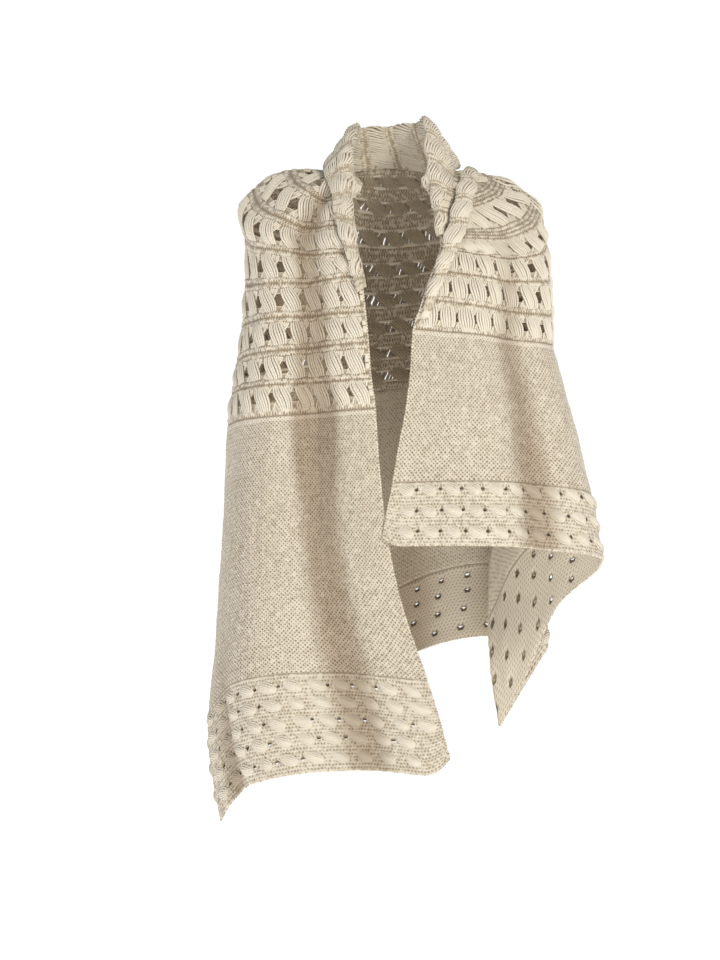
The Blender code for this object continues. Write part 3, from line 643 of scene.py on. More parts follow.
# ---------------------------------------------------------------- closed sheets of knitting
def rims(keep, outer, inner, grain):
    """Rim faces wherever a kept square meets none, and the outer corner each of their corners is over."""
    rows, columns = keep.shape
    fringe = np.pad(keep, 1)
    sides = (
        (-1, 0, (0, 1), (0, 0)),
        (0, 1, (1, 1), (0, 1)),
        (1, 0, (1, 0), (1, 1)),
        (0, -1, (0, 0), (1, 0)),
    )
    faces, overs = [], []
    for down, along, last, first in sides:
        beside = fringe[1 + down : 1 + down + rows, 1 + along : 1 + along + columns]
        i, j = np.nonzero(keep & ~beside)
        ia, ja, ib, jb = i + last[0], j + last[1], i + first[0], j + first[1]
        a, b = outer[grain * ia, grain * ja], outer[grain * ib, grain * jb]
        middle = [outer[ia + ib, ja + jb]] if grain == 2 else []
        faces.append(np.stack([a, *middle, b, inner[ib, jb], inner[ia, ja]], axis=1))
        overs.append(np.stack([a, *middle, b, b, a], axis=1))
    return np.concatenate(faces), np.concatenate(overs)


def squares(corner):
    """The four corners of every square of a grid, facing outwards."""
    return np.stack([corner[:-1, :-1], corner[:-1, 1:], corner[1:, 1:], corner[1:, :-1]], axis=-1)


def crested(corner, height):
    """Triangles of a grid's squares, each split along the diagonal that stands higher."""
    four = squares(corner)
    level = squares(height)
    tall = level[..., 0] + level[..., 2] >= level[..., 1] + level[..., 3]
    turned = np.roll(four, -1, axis=-1)
    four = np.where(tall[..., None], four, turned)
    return np.stack([four[..., [0, 1, 2]], four[..., [0, 2, 3]]], axis=-2)


def closed_sheet(name, outer, inner, gone, heights, painted_fold_shades, finish, cells):
    """A sheet of knitting with an outer and an inner face, closed round its edges and its holes.

    inner has every point of outer, or every other one. gone marks the pairs of half stitches left
    out. cells holds the knit coordinates of both faces.
    """
    grain = 2 if inner.shape[0] < outer.shape[0] else 1
    blocks = ~gone
    fine = np.repeat(np.repeat(blocks, 2, axis=0), 2, axis=1)
    outer_id = np.arange(outer.shape[0] * outer.shape[1]).reshape(outer.shape[:2])
    inner_id = outer_id.size + np.arange(inner.shape[0] * inner.shape[1]).reshape(inner.shape[:2])
    front = crested(outer_id, heights[0])[fine].reshape(-1, 3)
    keep = blocks if grain == 2 else fine
    behind = squares(inner_id)[keep][:, ::-1]
    edge, over = rims(keep, outer_id, inner_id, grain)
    points = np.concatenate([outer.reshape(-1, 3), inner.reshape(-1, 3)])
    used = np.unique(np.concatenate([front.ravel(), behind.ravel(), edge.ravel()]))
    renumber = np.zeros(len(points), int)
    renumber[used] = np.arange(len(used))
    faces = [face for group in (front, behind, edge) for face in renumber[group].tolist()]
    mesh = bpy.data.meshes.new(name)
    mesh.from_pydata(points[used].tolist(), [], faces)
    knit = np.concatenate([part.reshape(-1, 2) for part in cells])
    page = np.concatenate([half_page(outer.shape, 0.0), half_page(inner.shape, 0.5)])
    for label, places in (("knit", knit), ("OFBake", page)):
        add_map(mesh, label, np.concatenate([places[part].reshape(-1, 2) for part in (front, behind, over)]))
    # Relief and fold depth go to the finish, which paints shade from them.
    for label, values in (("relief", heights), ("hollow", painted_fold_shades)):
        add_heights(mesh, label, np.concatenate([part.ravel() for part in values])[used])
    mesh.shade_smooth()
    mesh.materials.append(finish)
    return placed(name, mesh)


def placed(name, data):
    """An object in the scene, with its mesh, lamp or camera."""
    made = bpy.data.objects.new(name, data)
    bpy.context.scene.collection.objects.link(made)
    return made


def lattice_map(shape):
    """Knit coordinates of a grid's points, counted in lattice steps."""
    down, along = np.mgrid[: shape[0], : shape[1]]
    return np.stack([along, -down], axis=-1) * 1.0


def bead_map(net, row, column, zones):
    """Knit coordinates with beads of one length all along each garter zone.

    zones holds the lattice rows from one zone to the next, the row in the middle of the first,
    and the zones that hold four rows of beads instead of two.
    """
    period, first, broad = zones
    down = np.arange(row.shape[0])
    zone = np.round((down - first) / period)
    middle = first + period * zone
    off = np.abs(down - middle)
    place = middle + np.where(np.isin(zone, broad), 2 * off - BROAD_FURROW, off)
    middle = np.clip(middle, 0, row.shape[0] - 1).astype(int)
    line = read(net, "points", row[middle], column[middle])
    run = np.cumsum(np.linalg.norm(np.diff(line, axis=1), axis=2), axis=1)
    run = np.concatenate([np.zeros((len(down), 1)), run], axis=1)
    beads = 2 * np.maximum(np.round(run[:, -1:] / HALF_BEAD / 2), 1)
    across = run / run[:, -1:] * beads
    return np.stack([across, np.broadcast_to(-place[:, None], across.shape)], axis=-1)


PAGE_EDGE = 0.005  # free margin of each half of the page


def half_page(shape, left):
    """Places of a grid's points in one half of the page that textures are baked to."""
    down, along = np.mgrid[: shape[0], : shape[1]]
    across = left + PAGE_EDGE + (0.5 - 2 * PAGE_EDGE) * along / (shape[1] - 1)
    up = 1 - PAGE_EDGE - (1 - 2 * PAGE_EDGE) * down / (shape[0] - 1)
    return np.stack([across.ravel(), up.ravel()], axis=1)


def add_map(mesh, name, values):
    """Gives a mesh a UV map, one value for each face corner."""
    layer = mesh.uv_layers.new(name=name)
    layer.uv.foreach_set("vector", values.astype(np.float32).ravel())


def add_heights(mesh, name, values):
    """Keeps heights or depths of a mesh's points, in millimetres, for its finish, which paints shade from
    them.
    """
    layer = mesh.attributes.new(name, "FLOAT", "POINT")
    layer.data.foreach_set("value", (values * 1000).astype(np.float32))


def opened(net, row, column, holes, shape, drop=0.0):
    """Rows and columns of a lattice, moved so that each hole opens into a soft diamond, drop lower."""
    row, column = row.copy(), column.copy()
    waist = EYELET_WAIST * min(shape)
    for i, j in holes:
        top, left = max(i - EYELET_REACH, 0), max(j - EYELET_REACH, 0)
        near = np.s_[top : i + EYELET_REACH + 1, left : j + EYELET_REACH + 1]
        scale = scale_at(net, row[i, j], column[i, j])
        down = (row[near] - row[i, j]) * scale[0]
        along = (column[near] - column[i, j]) * scale[1]
        reach = np.hypot(down, along) + 1e-9
        turn = np.abs(np.abs(along) - np.abs(down)) / (np.abs(along) + np.abs(down) + 1e-9)
        wide = np.where(np.abs(along) > np.abs(down), shape[0], shape[1])
        grow = waist + (wide - waist) * turn
        fade = np.clip(1 - reach / EYELET_FADE, 0, 1)
        moved = np.sqrt(reach**2 + (grow * EYELET_GROW * fade) ** 2) / reach
        row[near] = row[i, j] + (down * moved + drop * fade) / scale[0]
        column[near] = column[i, j] + along * moved / scale[1]
    return row, column


def purl_lifts(shape):
    """Relief of the wrong side: small pits between bumps laid like bricks."""
    down, along = np.mgrid[: shape[0], : shape[1]]
    pit = (down % 2 == 1) & ((along + down // 2) % 2 == 0)
    return np.where(pit, PURL_PIT, PURL_BUMP)


def wander(shape, every, rng):
    """Smooth random numbers over a lattice, about one to every few steps."""
    coarse = rng.normal(0, 1, (shape[0] // every + 2, shape[1] // every + 2))
    down, along = np.arange(shape[0]) / every, np.arange(shape[1]) / every
    i, j = down.astype(int), along.astype(int)
    fi, fj = (down - i)[:, None], (along - j)[None, :]
    upper = coarse[i][:, j] * (1 - fj) + coarse[i][:, j + 1] * fj
    lower = coarse[i + 1][:, j] * (1 - fj) + coarse[i + 1][:, j + 1] * fj
    return upper * (1 - fi) + lower * fi


def hand_made(rows, columns, loose, rng):
    """The lattice of a sheet, its stitches a little out of place, by loose steps, but not its edges."""
    row, column = np.meshgrid(rows, columns, indexing="ij")
    inside = np.zeros(row.shape)
    inside[2:-2, 2:-2] = loose
    row = row + (rows[2] - rows[0]) / 2 * inside * wander(row.shape, 3, rng)
    column = column + (columns[2] - columns[0]) / 2 * inside * wander(row.shape, 3, rng)
    return row, column


def knitted(name, net, rows, columns, relief, finish, holes=(), shape=(0.004, 0.004), gone=None, purl=False,
            loose=0.2, zones=None):
    """A closed sheet of knitting over a net, with its relief, eyelets and open windows."""
    if gone is None:
        gone = np.zeros(((len(rows) - 1) // 2, (len(columns) - 1) // 2), bool)
    for i, j in holes:
        gone[(i - 1) // 2, (j - 1) // 2] = True
    lattice = hand_made(rows, columns, loose, np.random.default_rng(len(name)))
    cells = bead_map(net, *lattice, zones) if zones else lattice_map(relief.shape)
    row, column = opened(net, *lattice, holes, shape)
    lift = CLOTH / 2 + relief - FACE_SINK
    edge = np.zeros(lift.shape, bool)
    edge[[0, -1], :] = edge[:, [0, -1]] = True
    lift[edge] = CLOTH / 2 - FACE_RIM
    outer = on(net, row, column, lift)
    hollow = read(net, "hollow", row, column)[..., 0]
    row, column = opened(net, *lattice, holes, [EYELET_FAR * size for size in shape], EYELET_DROP)
    bumps = purl_lifts(row.shape)
    for i, j in holes:
        # The far rims of eyelets are given the eyelet relief, which the finish paints as painted shadow.
        bumps[i - 1 : i + 2, j - 1 : j + 2] = EYELET_SHADOW_RELIEF
    behind = hollow
    wrong_side = np.full_like(cells, BEAD_CROWN) * (0.0, 1.0)
    if not purl:
        wrong_side = cells[::2, ::2]
        row, column, edge, bumps, behind = (part[::2, ::2] for part in (row, column, edge, bumps, hollow))
        bumps = np.minimum(bumps, 0.0)
    depth = np.where(edge, BACK_RIM - CLOTH / 2, -CLOTH / 2 - np.maximum(bumps, -BACK_DEEPEST))
    inner = on(net, row, column, depth)
    heights = lift - CLOTH / 2, bumps
    return closed_sheet(name, outer, inner, gone, heights, (hollow, behind), finish, (cells, wrong_side))


def even_steps(first, last, step):
    """Evenly spaced values between first and last, an odd count of them."""
    return np.linspace(first, last, 2 * max(1, round(abs(last - first) / step / 2)) + 1)


def drawn_in(net, rows, first, last, seams):
    """The ends of a panel's columns, moved in by half a seam where it is sewn."""
    half = JOIN / 2 / scale_at(net, np.mean(rows), (first + last) / 2)[1]
    return first + half * seams[0], last - half * seams[1]


def table_relief(marks, table, columns):
    """Relief of rows whose marks are places in a table of (even, odd) half stitches."""
    values = np.array(table)[np.asarray(marks)]
    parity = np.arange(columns) % 2
    loose = np.random.default_rng(columns).normal(1.0, 0.25, (len(values), columns))
    return values[:, parity] * loose


# ---------------------------------------------------------------- node trees
def feed(tree, made, inputs):
    """Gives a node's inputs, by name or place, plain values or the outputs of other nodes."""
    for key, value in dict(inputs).items():
        if isinstance(value, bpy.types.NodeSocket):
            tree.links.new(value, made.inputs[key])
        else:
            made.inputs[key].default_value = value


def node(tree, kind, inputs=(), **settings):
    """A new node with its settings and its inputs."""
    made = tree.nodes.new(kind)
    for key, value in settings.items():
        setattr(made, key, value)
    feed(tree, made, inputs)
    return made


def named(tree, name, kind="FLOAT"):
    """The output of a node that reads an attribute by name."""
    reader = node(tree, "GeometryNodeInputNamedAttribute", {"Name": name}, data_type=kind)
    return reader.outputs["Attribute"]


def new_tree(name):
    """An empty tree that takes points, a number of sides and a finish, and gives a mesh."""
    tree = bpy.data.node_groups.new(name, "GeometryNodeTree")
    for label, kind in (("Geometry", "Geometry"), ("Sides", "Int"), ("Yarn", "Material")):
        tree.interface.new_socket(label, in_out="INPUT", socket_type=f"NodeSocket{kind}")
    tree.interface.new_socket("Geometry", in_out="OUTPUT", socket_type="NodeSocketGeometry")
    return tree, node(tree, "NodeGroupInput")


def finished(tree, geometry, given):
    """Closes a tree: copies made real, then the material set."""
    real = node(tree, "GeometryNodeRealizeInstances", {0: geometry})
    yarn = {"Geometry": real.outputs[0], "Material": given.outputs["Yarn"]}
    dress = node(tree, "GeometryNodeSetMaterial", yarn)
    node(tree, "NodeGroupOutput", {0: dress.outputs[0]})
    return tree


def strand_tree():
    """Yarn laid along paths, as thick at each point as the path's own thick value."""
    tree, given = new_tree("long stitch")
    thick = named(tree, "thick")
    curve = node(tree, "GeometryNodeMeshToCurve", {"Mesh": given.outputs["Geometry"]})
    path = node(tree, "GeometryNodeSetCurveRadius", {"Curve": curve.outputs[0], "Radius": thick})
    circle = {"Resolution": given.outputs["Sides"], "Radius": 1.0}
    ring = node(tree, "GeometryNodeCurvePrimitiveCircle", circle)
    count = node(tree, "GeometryNodeInputIndex")
    counted = {"Name": "around", "Geometry": ring.outputs["Curve"], "Value": count.outputs[0]}
    around = node(tree, "GeometryNodeStoreNamedAttribute", counted, data_type="FLOAT", domain="POINT")
    wall = {"Curve": path.outputs[0], "Profile Curve": around.outputs[0], "Scale": thick, "Fill Caps": True}
    tube = node(tree, "GeometryNodeCurveToMesh", wall)
    smooth = node(tree, "GeometryNodeSetShadeSmooth", {0: tube.outputs[0]})
    return finished(tree, smooth.outputs[0], given)


def bead_tree():
    """Edge stitches: one small loop of yarn on each point, its length along the edge."""
    tree, given = new_tree("edge stitch")
    ball = node(tree, "GeometryNodeMeshUVSphere", {"Segments": given.outputs["Sides"], "Rings": 4})
    mapped = {"Name": "knit", "Geometry": ball.outputs["Mesh"], "Value": ball.outputs["UV Map"]}
    keep_map = node(tree, "GeometryNodeStoreNamedAttribute", mapped, data_type="FLOAT2", domain="CORNER")
    smooth = node(tree, "GeometryNodeSetShadeSmooth", {0: keep_map.outputs[0]})
    out, along, size = (named(tree, name, "FLOAT_VECTOR") for name in ("outward", "lengthwise", "size"))
    axes = {"Primary Axis": out, "Secondary Axis": along}
    turn = node(tree, "FunctionNodeAxesToRotation", axes, primary_axis="Z", secondary_axis="X")
    place = node(tree, "GeometryNodeInstanceOnPoints", {
        "Points": given.outputs["Geometry"],
        "Instance": smooth.outputs[0],
        "Rotation": turn.outputs[0],
        "Scale": size,
    })
    return finished(tree, place.outputs[0], given)


def grown(name, points, edges, carried, tree, sides, finish):
    """A plain mesh grown by a node tree from points and edges. carried names each value of the points."""
    seed = bpy.data.meshes.new(name + "_paths")
    seed.from_pydata(points.tolist(), edges.tolist(), [])
    for label, values in carried.items():
        vector = values.ndim > 1 and values.shape[-1] == 3
        layer = seed.attributes.new(label, "FLOAT_VECTOR" if vector else "FLOAT", "POINT")
        layer.data.foreach_set("vector" if vector else "value", values.astype(np.float32).ravel())
    carrier = placed(name + "_paths", seed)
    grow = carrier.modifiers.new("grow", "NODES")
    grow.node_group = tree
    sockets = {item.name: item.identifier for item in tree.interface.items_tree if item.in_out == "INPUT"}
    grow[sockets["Sides"]] = sides
    grow[sockets["Yarn"]] = finish
    bpy.context.view_layer.update()
    ready = carrier.evaluated_get(bpy.context.evaluated_depsgraph_get())
    mesh = bpy.data.meshes.new_from_object(ready)
    mesh.name = name
    carrier.modifiers.remove(grow)
    bpy.data.objects.remove(carrier)
    return placed(name, mesh)


def attribute(mesh, name, width=1):
    """An attribute of a mesh's points, one number or a vector for each."""
    values = np.zeros(len(mesh.vertices) * width, np.float32)
    if name == "position":
        mesh.vertices.foreach_get("co", values)
    else:
        mesh.attributes[name].data.foreach_get("value" if width == 1 else "vector", values)
    return values if width == 1 else values.reshape(-1, width)


STRAND_MAP = (0.009, 0.03)  # metres round a strand and along it, on the knit map
# Painted shade on the long stitches: relief values that fall off towards a strand's sides and underside.
STRAND_SHADE_RELIEF, STRAND_SHADE_BASE = (0.0017, 0.0011), -0.0007  # relief outwards, inwards and at its middle


def map_strands(mesh, sides, strands):
    """Gives tubes their knit map, along and around each strand, their places on the baked page, and relief
    for painted shade on their sides.
    """
    corners = np.zeros(len(mesh.loops), np.int32)
    mesh.loops.foreach_get("vertex_index", corners)
    counts = np.zeros(len(mesh.polygons), np.int32)
    mesh.polygons.foreach_get("loop_total", counts)
    face = np.repeat(np.arange(len(counts)), counts)
    around, along, strand = (attribute(mesh, name)[corners] for name in ("around", "along", "strand"))
    most = np.zeros(len(counts))
    np.maximum.at(most, face, around)
    wraps = (most[face] == sides - 1) & (around == 0)
    around = np.where(wraps, sides, around) / sides
    side = math.ceil(math.sqrt(strands))
    left = (strand % side) / side
    foot = np.floor(strand / side) / side
    page = np.stack([left + (0.08 + 0.84 * around) / side, foot + (0.06 + 0.88 * along) / side], axis=1)
    add_map(mesh, "knit", np.stack([around * STRAND_MAP[0], along * STRAND_MAP[1]], axis=1))
    add_map(mesh, "OFBake", page)
    # Painted shade: a tube's sides and underside get lower relief than its crown, so the finish paints them
    # darker.
    off = attribute(mesh, "position", 3) - attribute(mesh, "centre", 3)
    side_on = (off * attribute(mesh, "outward", 3)).sum(axis=1) / attribute(mesh, "thick")
    add_heights(mesh, "relief", side_on * np.where(side_on > 0, *STRAND_SHADE_RELIEF) + STRAND_SHADE_BASE)
    drop_attributes(mesh, ("around", "along", "strand", "thick", "centre", "outward"))


def drop_attributes(mesh, names):
    """Takes off attributes that have done their work."""
    for label in names:
        if label in mesh.attributes:
            mesh.attributes.remove(mesh.attributes[label])


def strands_piece(name, paths, thick, out, hollow, sides, finish):
    """Long stitches as one piece: paths is (strands, points, 3) and thick (strands, points)."""
    count, knots = paths.shape[:2]
    corner = np.arange(count * knots).reshape(count, knots)
    edges = np.stack([corner[:, :-1], corner[:, 1:]], axis=-1).reshape(-1, 2)
    carried = {
        "thick": thick.ravel(),
        "along": np.tile(np.linspace(0, 1, knots), count),
        "strand": np.repeat(np.arange(count), knots),
        "centre": paths,
        "outward": out,
        "hollow": hollow.ravel() * 1000,
    }
    made = grown(name, paths.reshape(-1, 3), edges, carried, STRAND_TREE, sides, finish)
    map_strands(made.data, sides, count)
    return made


# ---------------------------------------------------------------- long stitches
def between(net, ends, share, swing):
    """Rows and columns from each head to its foot, the net's scale there, and how far they run.

    ends holds (row, column) of each bundle's head and foot, (bundles, 4). share and swing say how
    much of the way down and across is done at each knot.
    """
    head_row, head_column, foot_row, foot_column = (ends[:, k, None, None] for k in range(4))
    row = head_row + (foot_row - head_row) * share
    column = head_column + (foot_column - head_column) * swing
    scale = read(net, "scale", row[:, 0], column[:, 0])[:, None]
    down, along = scale[..., 0], scale[..., 1]
    return row, column, down, along, (foot_row - head_row) * down, (foot_column - head_column) * along


def strand_parts(net, row, column, crown, thick):
    """Paths, thicknesses, outward normals and painted fold shade of strands, one row of knots for each."""
    parts = np.broadcast_arrays(row, column, crown, thick)
    row, column, crown, thick = (part.reshape(-1, part.shape[-1]) for part in parts)
    hollow = read(net, "hollow", row, column)[..., 0]
    return on(net, row, column, crown), thick, outward(net, row, column), hollow


def bundles(net, ends, count, gap, spread_by, lift, puff, radius, knots, rng, swerve=0.45):
    """Bundles of count long stitches between ends, as strand_parts gives them.

    The stitches lie side by side, gap apart, spread in the middle, and stand lift above the middle
    of the cloth, with a puff.
    """
    share = np.linspace(0, 1, knots)
    swing = (1 - swerve) * share + swerve * (3 * share**2 - 2 * share**3)
    swell = np.sin(np.pi * share)
    row, column, down, along, rise, run = between(net, ends, share, swing)
    length = np.hypot(rise, run) + 1e-9
    each = (len(ends), count, 1)
    beside = np.linspace(-1, 1, count)[None, :, None]
    loose = rng.normal(0, 0.02, each)
    offset = (beside + loose) * gap * (count - 1) / 2 * (1 + spread_by * swell)
    row = row - offset * (run / length) * np.sign(rise) / down * 0.35
    column = column + offset / along
    crown = lift + puff * swell * (1 - 0.55 * beside**2)
    crown = crown + rng.normal(0, 0.00012, each)
    thick = radius * (0.86 + 0.26 * swell) * rng.uniform(0.93, 1.07, each)
    return strand_parts(net, row, column, crown, thick)


def leaf_strands(net, ends, rng, count=6, knots=7):
    """Small puffed leaves of count slanting stitches between ends, as strand_parts gives them."""
    share = np.linspace(0, 1, knots)
    swell = np.sin(np.pi * share) ** 0.8
    row, column, down, along, rise, run = between(net, ends, share, share)
    length = np.hypot(rise, run)
    each = (len(ends), count, 1)
    beside = np.linspace(-1, 1, count)[None, :, None]
    offset = beside * LEAF_HALF * (0.30 + 0.85 * swell)
    row = row + offset * (-run / length) / down
    column = column + offset * (rise / length) / along
    crown = 0.0006 + LEAF_PUFF * swell * (1 - 0.62 * beside**2)
    crown = crown + rng.normal(0, 0.00015, each)
    thick = LEAF_YARN * (0.7 + 0.35 * swell) * np.ones(each)
    return strand_parts(net, row, column, crown, thick)


def crossed(net, cells, lean, chart, rng):
    """Crossings of long stitches, each a broad leaf over a narrower bundle that runs the other way.

    cells holds (upper row, lower row, left column, right column) of each crossing.
    """
    upper, lower, left, right = cells.T
    width = right - left
    head, foot = left + (0.46 - lean / 2) * width, left + (0.46 + lean / 2) * width
    front = np.stack([upper, head, lower, foot], axis=1)
    behind = np.stack([upper, left + 0.76 * width, lower, left + 0.19 * width], axis=1)
    radius, high, knots = chart["radius"], chart["high"], chart["knots"]
    over = bundles(net, front, *chart["leaf"], 0.34, high, 0.0030, radius, knots, rng)
    under = bundles(net, behind, *chart["behind"], 0.0, high - 0.0005, -0.0032, radius, knots, rng, 0.5)
    return [np.concatenate(pair) for pair in zip(over, under)]


# ---------------------------------------------------------------- the panels
def yoke_lattice(ridges, broad, foot_seam):
    """Rows of a yoke: their rings, their places in the tables of relief, and the lace bands."""
    half = len(YOKE_ZONE) // 2
    rings, marks, bands = [], [], []
    for number, (upper, lower) in enumerate(zip(ridges, ridges[1:])):
        above = len(YOKE_ZONE) * (number in broad)
        below = len(YOKE_ZONE) * (number + 1 in broad)
        reach = SHEET_SHARE * (lower - upper)
        top = np.linspace(upper, upper + reach, half + 1)
        lace = np.linspace(upper + reach, lower - reach, LACE_ROWS + 1)
        foot = np.linspace(lower - reach, lower, half + 1)
        start = len(rings) + half
        rings += [*top[:-1], *lace[:-1], *foot[:-1]]
        marks += [*range(above + half, above + 2 * half), *([0] * LACE_ROWS), *range(below, below + half)]
        bands.append((start, start + LACE_ROWS, upper + reach, lower - reach))
    rings.append(ridges[-1] - foot_seam)
    marks.append(half)
    return np.array(rings), np.array(marks), bands


def make_yoke(panel, seams, finish):
    """One panel of the yoke: garter ridges in a closed sheet, and crossed long stitches between them."""
    first, last = SPANS[panel]
    middle = (first + last) / 2
    ridges, repeat, leans = YOKES[panel]
    foot_scale = scale_at(GARMENT, YOKE_FOOT - 0.1, middle)[0]
    rows, marks, bands = yoke_lattice(ridges, BROAD[panel], JOIN / 2 / foot_scale)
    first, last = drawn_in(GARMENT, rows, first, last, seams)
    widest = max(span(GARMENT, row, first, last) for row in (2.0, 4.0, YOKE_FOOT))
    columns = np.linspace(first, last, 2 * round(widest / BEAD_STEP[panel] / 2) + 1)
    relief = table_relief(marks, YOKE_ZONE + BROAD_ZONE, len(columns))
    gone = np.zeros(((len(rows) - 1) // 2, (len(columns) - 1) // 2), bool)
    for start, stop, _, _ in bands:
        gone[start // 2 : stop // 2, 2:-2] = True
    zones = (*YOKE_BEADS[:2], BROAD[panel])
    sheet = knitted(f"{panel}_yoke_garter", GARMENT, rows, columns, relief, finish, gone=gone, zones=zones)
    chart = CROSSINGS["back" if panel == "back" else "front"]
    rng = np.random.default_rng(len(panel))
    made = []
    for (_, _, upper, lower), lean in zip(bands, leans):
        room = span(GARMENT, (upper + lower) / 2, first, last)
        count = max(1, round((room - 2 * LACE_MARGIN) / repeat))
        inset = LACE_MARGIN * (last - first) / room
        stops = np.linspace(last - inset, first + inset, count + 1)
        stops[1:-1] += rng.normal(0, 0.0016, count - 1)
        tuck = LACE_TUCK / scale_at(GARMENT, upper, (first + last) / 2)[0]
        heads, feet = np.full(count, upper - tuck), np.full(count, lower + tuck)
        cells = np.stack([heads, feet, stops[:-1], stops[1:]], axis=1)
        made.append(crossed(GARMENT, cells, lean, chart, rng))
    parts = [np.concatenate(group) for group in zip(*made)]
    stitches = strands_piece(f"{panel}_yoke_long_stitches", *parts, chart["sides"], YARN)
    return sheet, stitches


def stocking_relief(rows, columns, rng):
    """Relief of plain knitting, two lattice steps to a stitch: staggered pits between the legs."""
    down, along = np.mgrid[0:rows, 0:columns]
    loose = np.clip(rng.normal(1.0, 0.4, down.shape), 0.1, 2.0)
    relief = np.where((down + along) % 2 == 0, LEG_PIT * loose, LEG * loose)
    relief[:4] = table_relief(np.arange(4), GROUND, columns)
    return relief


def make_body(panel, seams, finish):
    """One panel of plain knitting between the yoke and the border."""
    first, last = SPANS[panel]
    scale = scale_at(GARMENT, 10.0, (first + last) / 2)[0]
    seam = JOIN / 2 / scale
    rows = even_steps(YOKES[panel][0][-1] + seam, BORDERS[panel][0] - seam, HALF_PLAIN / scale)
    first, last = drawn_in(GARMENT, rows, first, last, seams)
    columns = even_steps(first, last, HALF_PLAIN)
    relief = stocking_relief(len(rows), len(columns), np.random.default_rng(5))
    return knitted(f"{panel}_body_knit", GARMENT, rows, columns, relief, finish, loose=0.16)


def make_border(panel, seams, finish):
    """One panel of the border: garter knitting with rows of eyelets, and small leaves on it."""
    first, last = SPANS[panel]
    head, rings, spacing, hole = BORDERS[panel]
    scale = scale_at(GARMENT, 13.0, (first + last) / 2)[0]
    rows = even_steps(head + JOIN / 2 / scale, HEM, BEAD_STEP[panel] * BORDER_FLAT / scale)
    first, last = drawn_in(GARMENT, rows, first, last, seams)
    columns = even_steps(first, last, BEAD_STEP[panel])
    relief = table_relief(np.arange(len(rows)) % len(GROUND), GROUND, len(columns))
    holes, ends = [], []
    count = round((last - first - BORDER_MARGIN) / spacing)
    pitch = (last - first - BORDER_MARGIN) / count
    rng = np.random.default_rng(7 + len(panel))
    for number, ring in enumerate(rings):
        for k in range(count):
            centre = last - BORDER_MARGIN / 2 - (k + 0.45) * pitch
            centre = centre - ROW_STAGGER * number + rng.normal(0, 0.0008)
            if not first + BORDER_MARGIN < centre < last - BORDER_MARGIN:
                continue
            lean = rng.normal(LEAF_LEAN, 0.001)
            ends.append((ring - LEAF_UP / scale, centre + lean, ring + LEAF_DOWN / scale, centre - lean))
            i = 2 * round((ring - EYELET_UP / scale - rows[0]) / (rows[2] - rows[0])) + 1
            j = 2 * round((centre + EYELET_ASIDE - columns[0]) / (columns[2] - columns[0])) + 1
            inside = 4 < i < len(rows) - 6 and 8 < j < len(columns) - 8
            drawn_shut = panel == "right_front" and k > 0.45 * count and rng.random() < 0.6
            if inside and not drawn_shut:
                holes.append((i, j))
    sheet = knitted(f"{panel}_border_knit", GARMENT, rows, columns, relief, finish, holes, hole,
                    purl=panel == "back")
    parts = leaf_strands(GARMENT, np.array(ends), rng)
    leaves = strands_piece(f"{panel}_border_leaves", *parts, 5, YARN)
    return sheet, leaves


# ---------------------------------------------------------------- collar and lapel
def make_roll(name, net, finish, lace, calm, pierced):
    """A collar or lapel: lace knit turned out, garter zones and leaves taking turns along its length.

    lace is how far each run of leaves goes, calm holds places along the length and the relief
    there, and pierced says whether eyelets open between the leaves.
    """
    length = net["rows"][-1]
    zone_rows = len(ROLL_ZONE)
    rows, marks, bands = [], [], []
    at = ROLL_EDGE
    while at + ROLL_GARTER + lace < length:
        garter = np.linspace(at, at + ROLL_GARTER, zone_rows + 1)
        open_work = np.linspace(at + ROLL_GARTER, at + ROLL_GARTER + lace, ROLL_LACE_ROWS + 1)
        start = len(rows) + zone_rows
        bands.append((start, start + ROLL_LACE_ROWS, at + ROLL_GARTER, at + ROLL_GARTER + lace))
        rows += [*garter[:-1], *open_work[:-1]]
        marks += [*range(zone_rows), *([-1] * ROLL_LACE_ROWS)]
        at += ROLL_GARTER + lace
    tail = even_steps(at, length, HALF_BEAD)
    rows = np.array([0.0, *rows, *tail])
    marks = np.array([0, *marks, *([0] * len(tail))])
    if len(rows) % 2 == 0:
        rows, marks = np.delete(rows, 1), np.delete(marks, 1)
    width = max(span(net, row, 0.0, 1.0) for row in np.linspace(0.1, 0.9, 9) * length)
    columns = np.linspace(0.0, 1.0, 2 * round(width / HALF_ROLL / 2) + 1)
    relief = table_relief(np.maximum(marks, 0), ROLL_ZONE, len(columns))
    relief[marks < 0] = -0.0001
    ease = np.clip(np.interp(rows, *calm), 0, 1)
    relief = relief * ease[:, None]
    rng = np.random.default_rng(len(name))
    cells, holes = [], []
    for start, stop, upper, lower in bands:
        room = span(net, (upper + lower) / 2, 0.0, 1.0)
        count = max(1, round((room - LEAF_ROOM) / ROLL_LEAF))
        edges = np.linspace(ROLL_EDGE / room, 1 - ROLL_EDGE / room, count + 1)
        cells += [(upper - ROLL_TUCK, lower + ROLL_TUCK, a, b) for a, b in zip(edges, edges[1:])]
        i = 2 * ((start + stop) // 4) + 1
        for a in edges[1:-1]:
            j = 2 * round((a * (len(columns) - 1) - 1) / 2) + 1
            if pierced and 6 < j < len(columns) - 7:
                holes.append((i, j))
    zones = (*ROLL_BEADS[:2], ())
    sheet = knitted(name + "_knit", net, rows, columns, relief, finish, holes, ROLL_EYELET, zones=zones)
    chart = CROSSINGS["roll"]
    parts = crossed(net, np.array(cells), 0.36, chart, rng)
    stitches = strands_piece(name + "_long_stitches", *parts, chart["sides"], YARN)
    return sheet, stitches


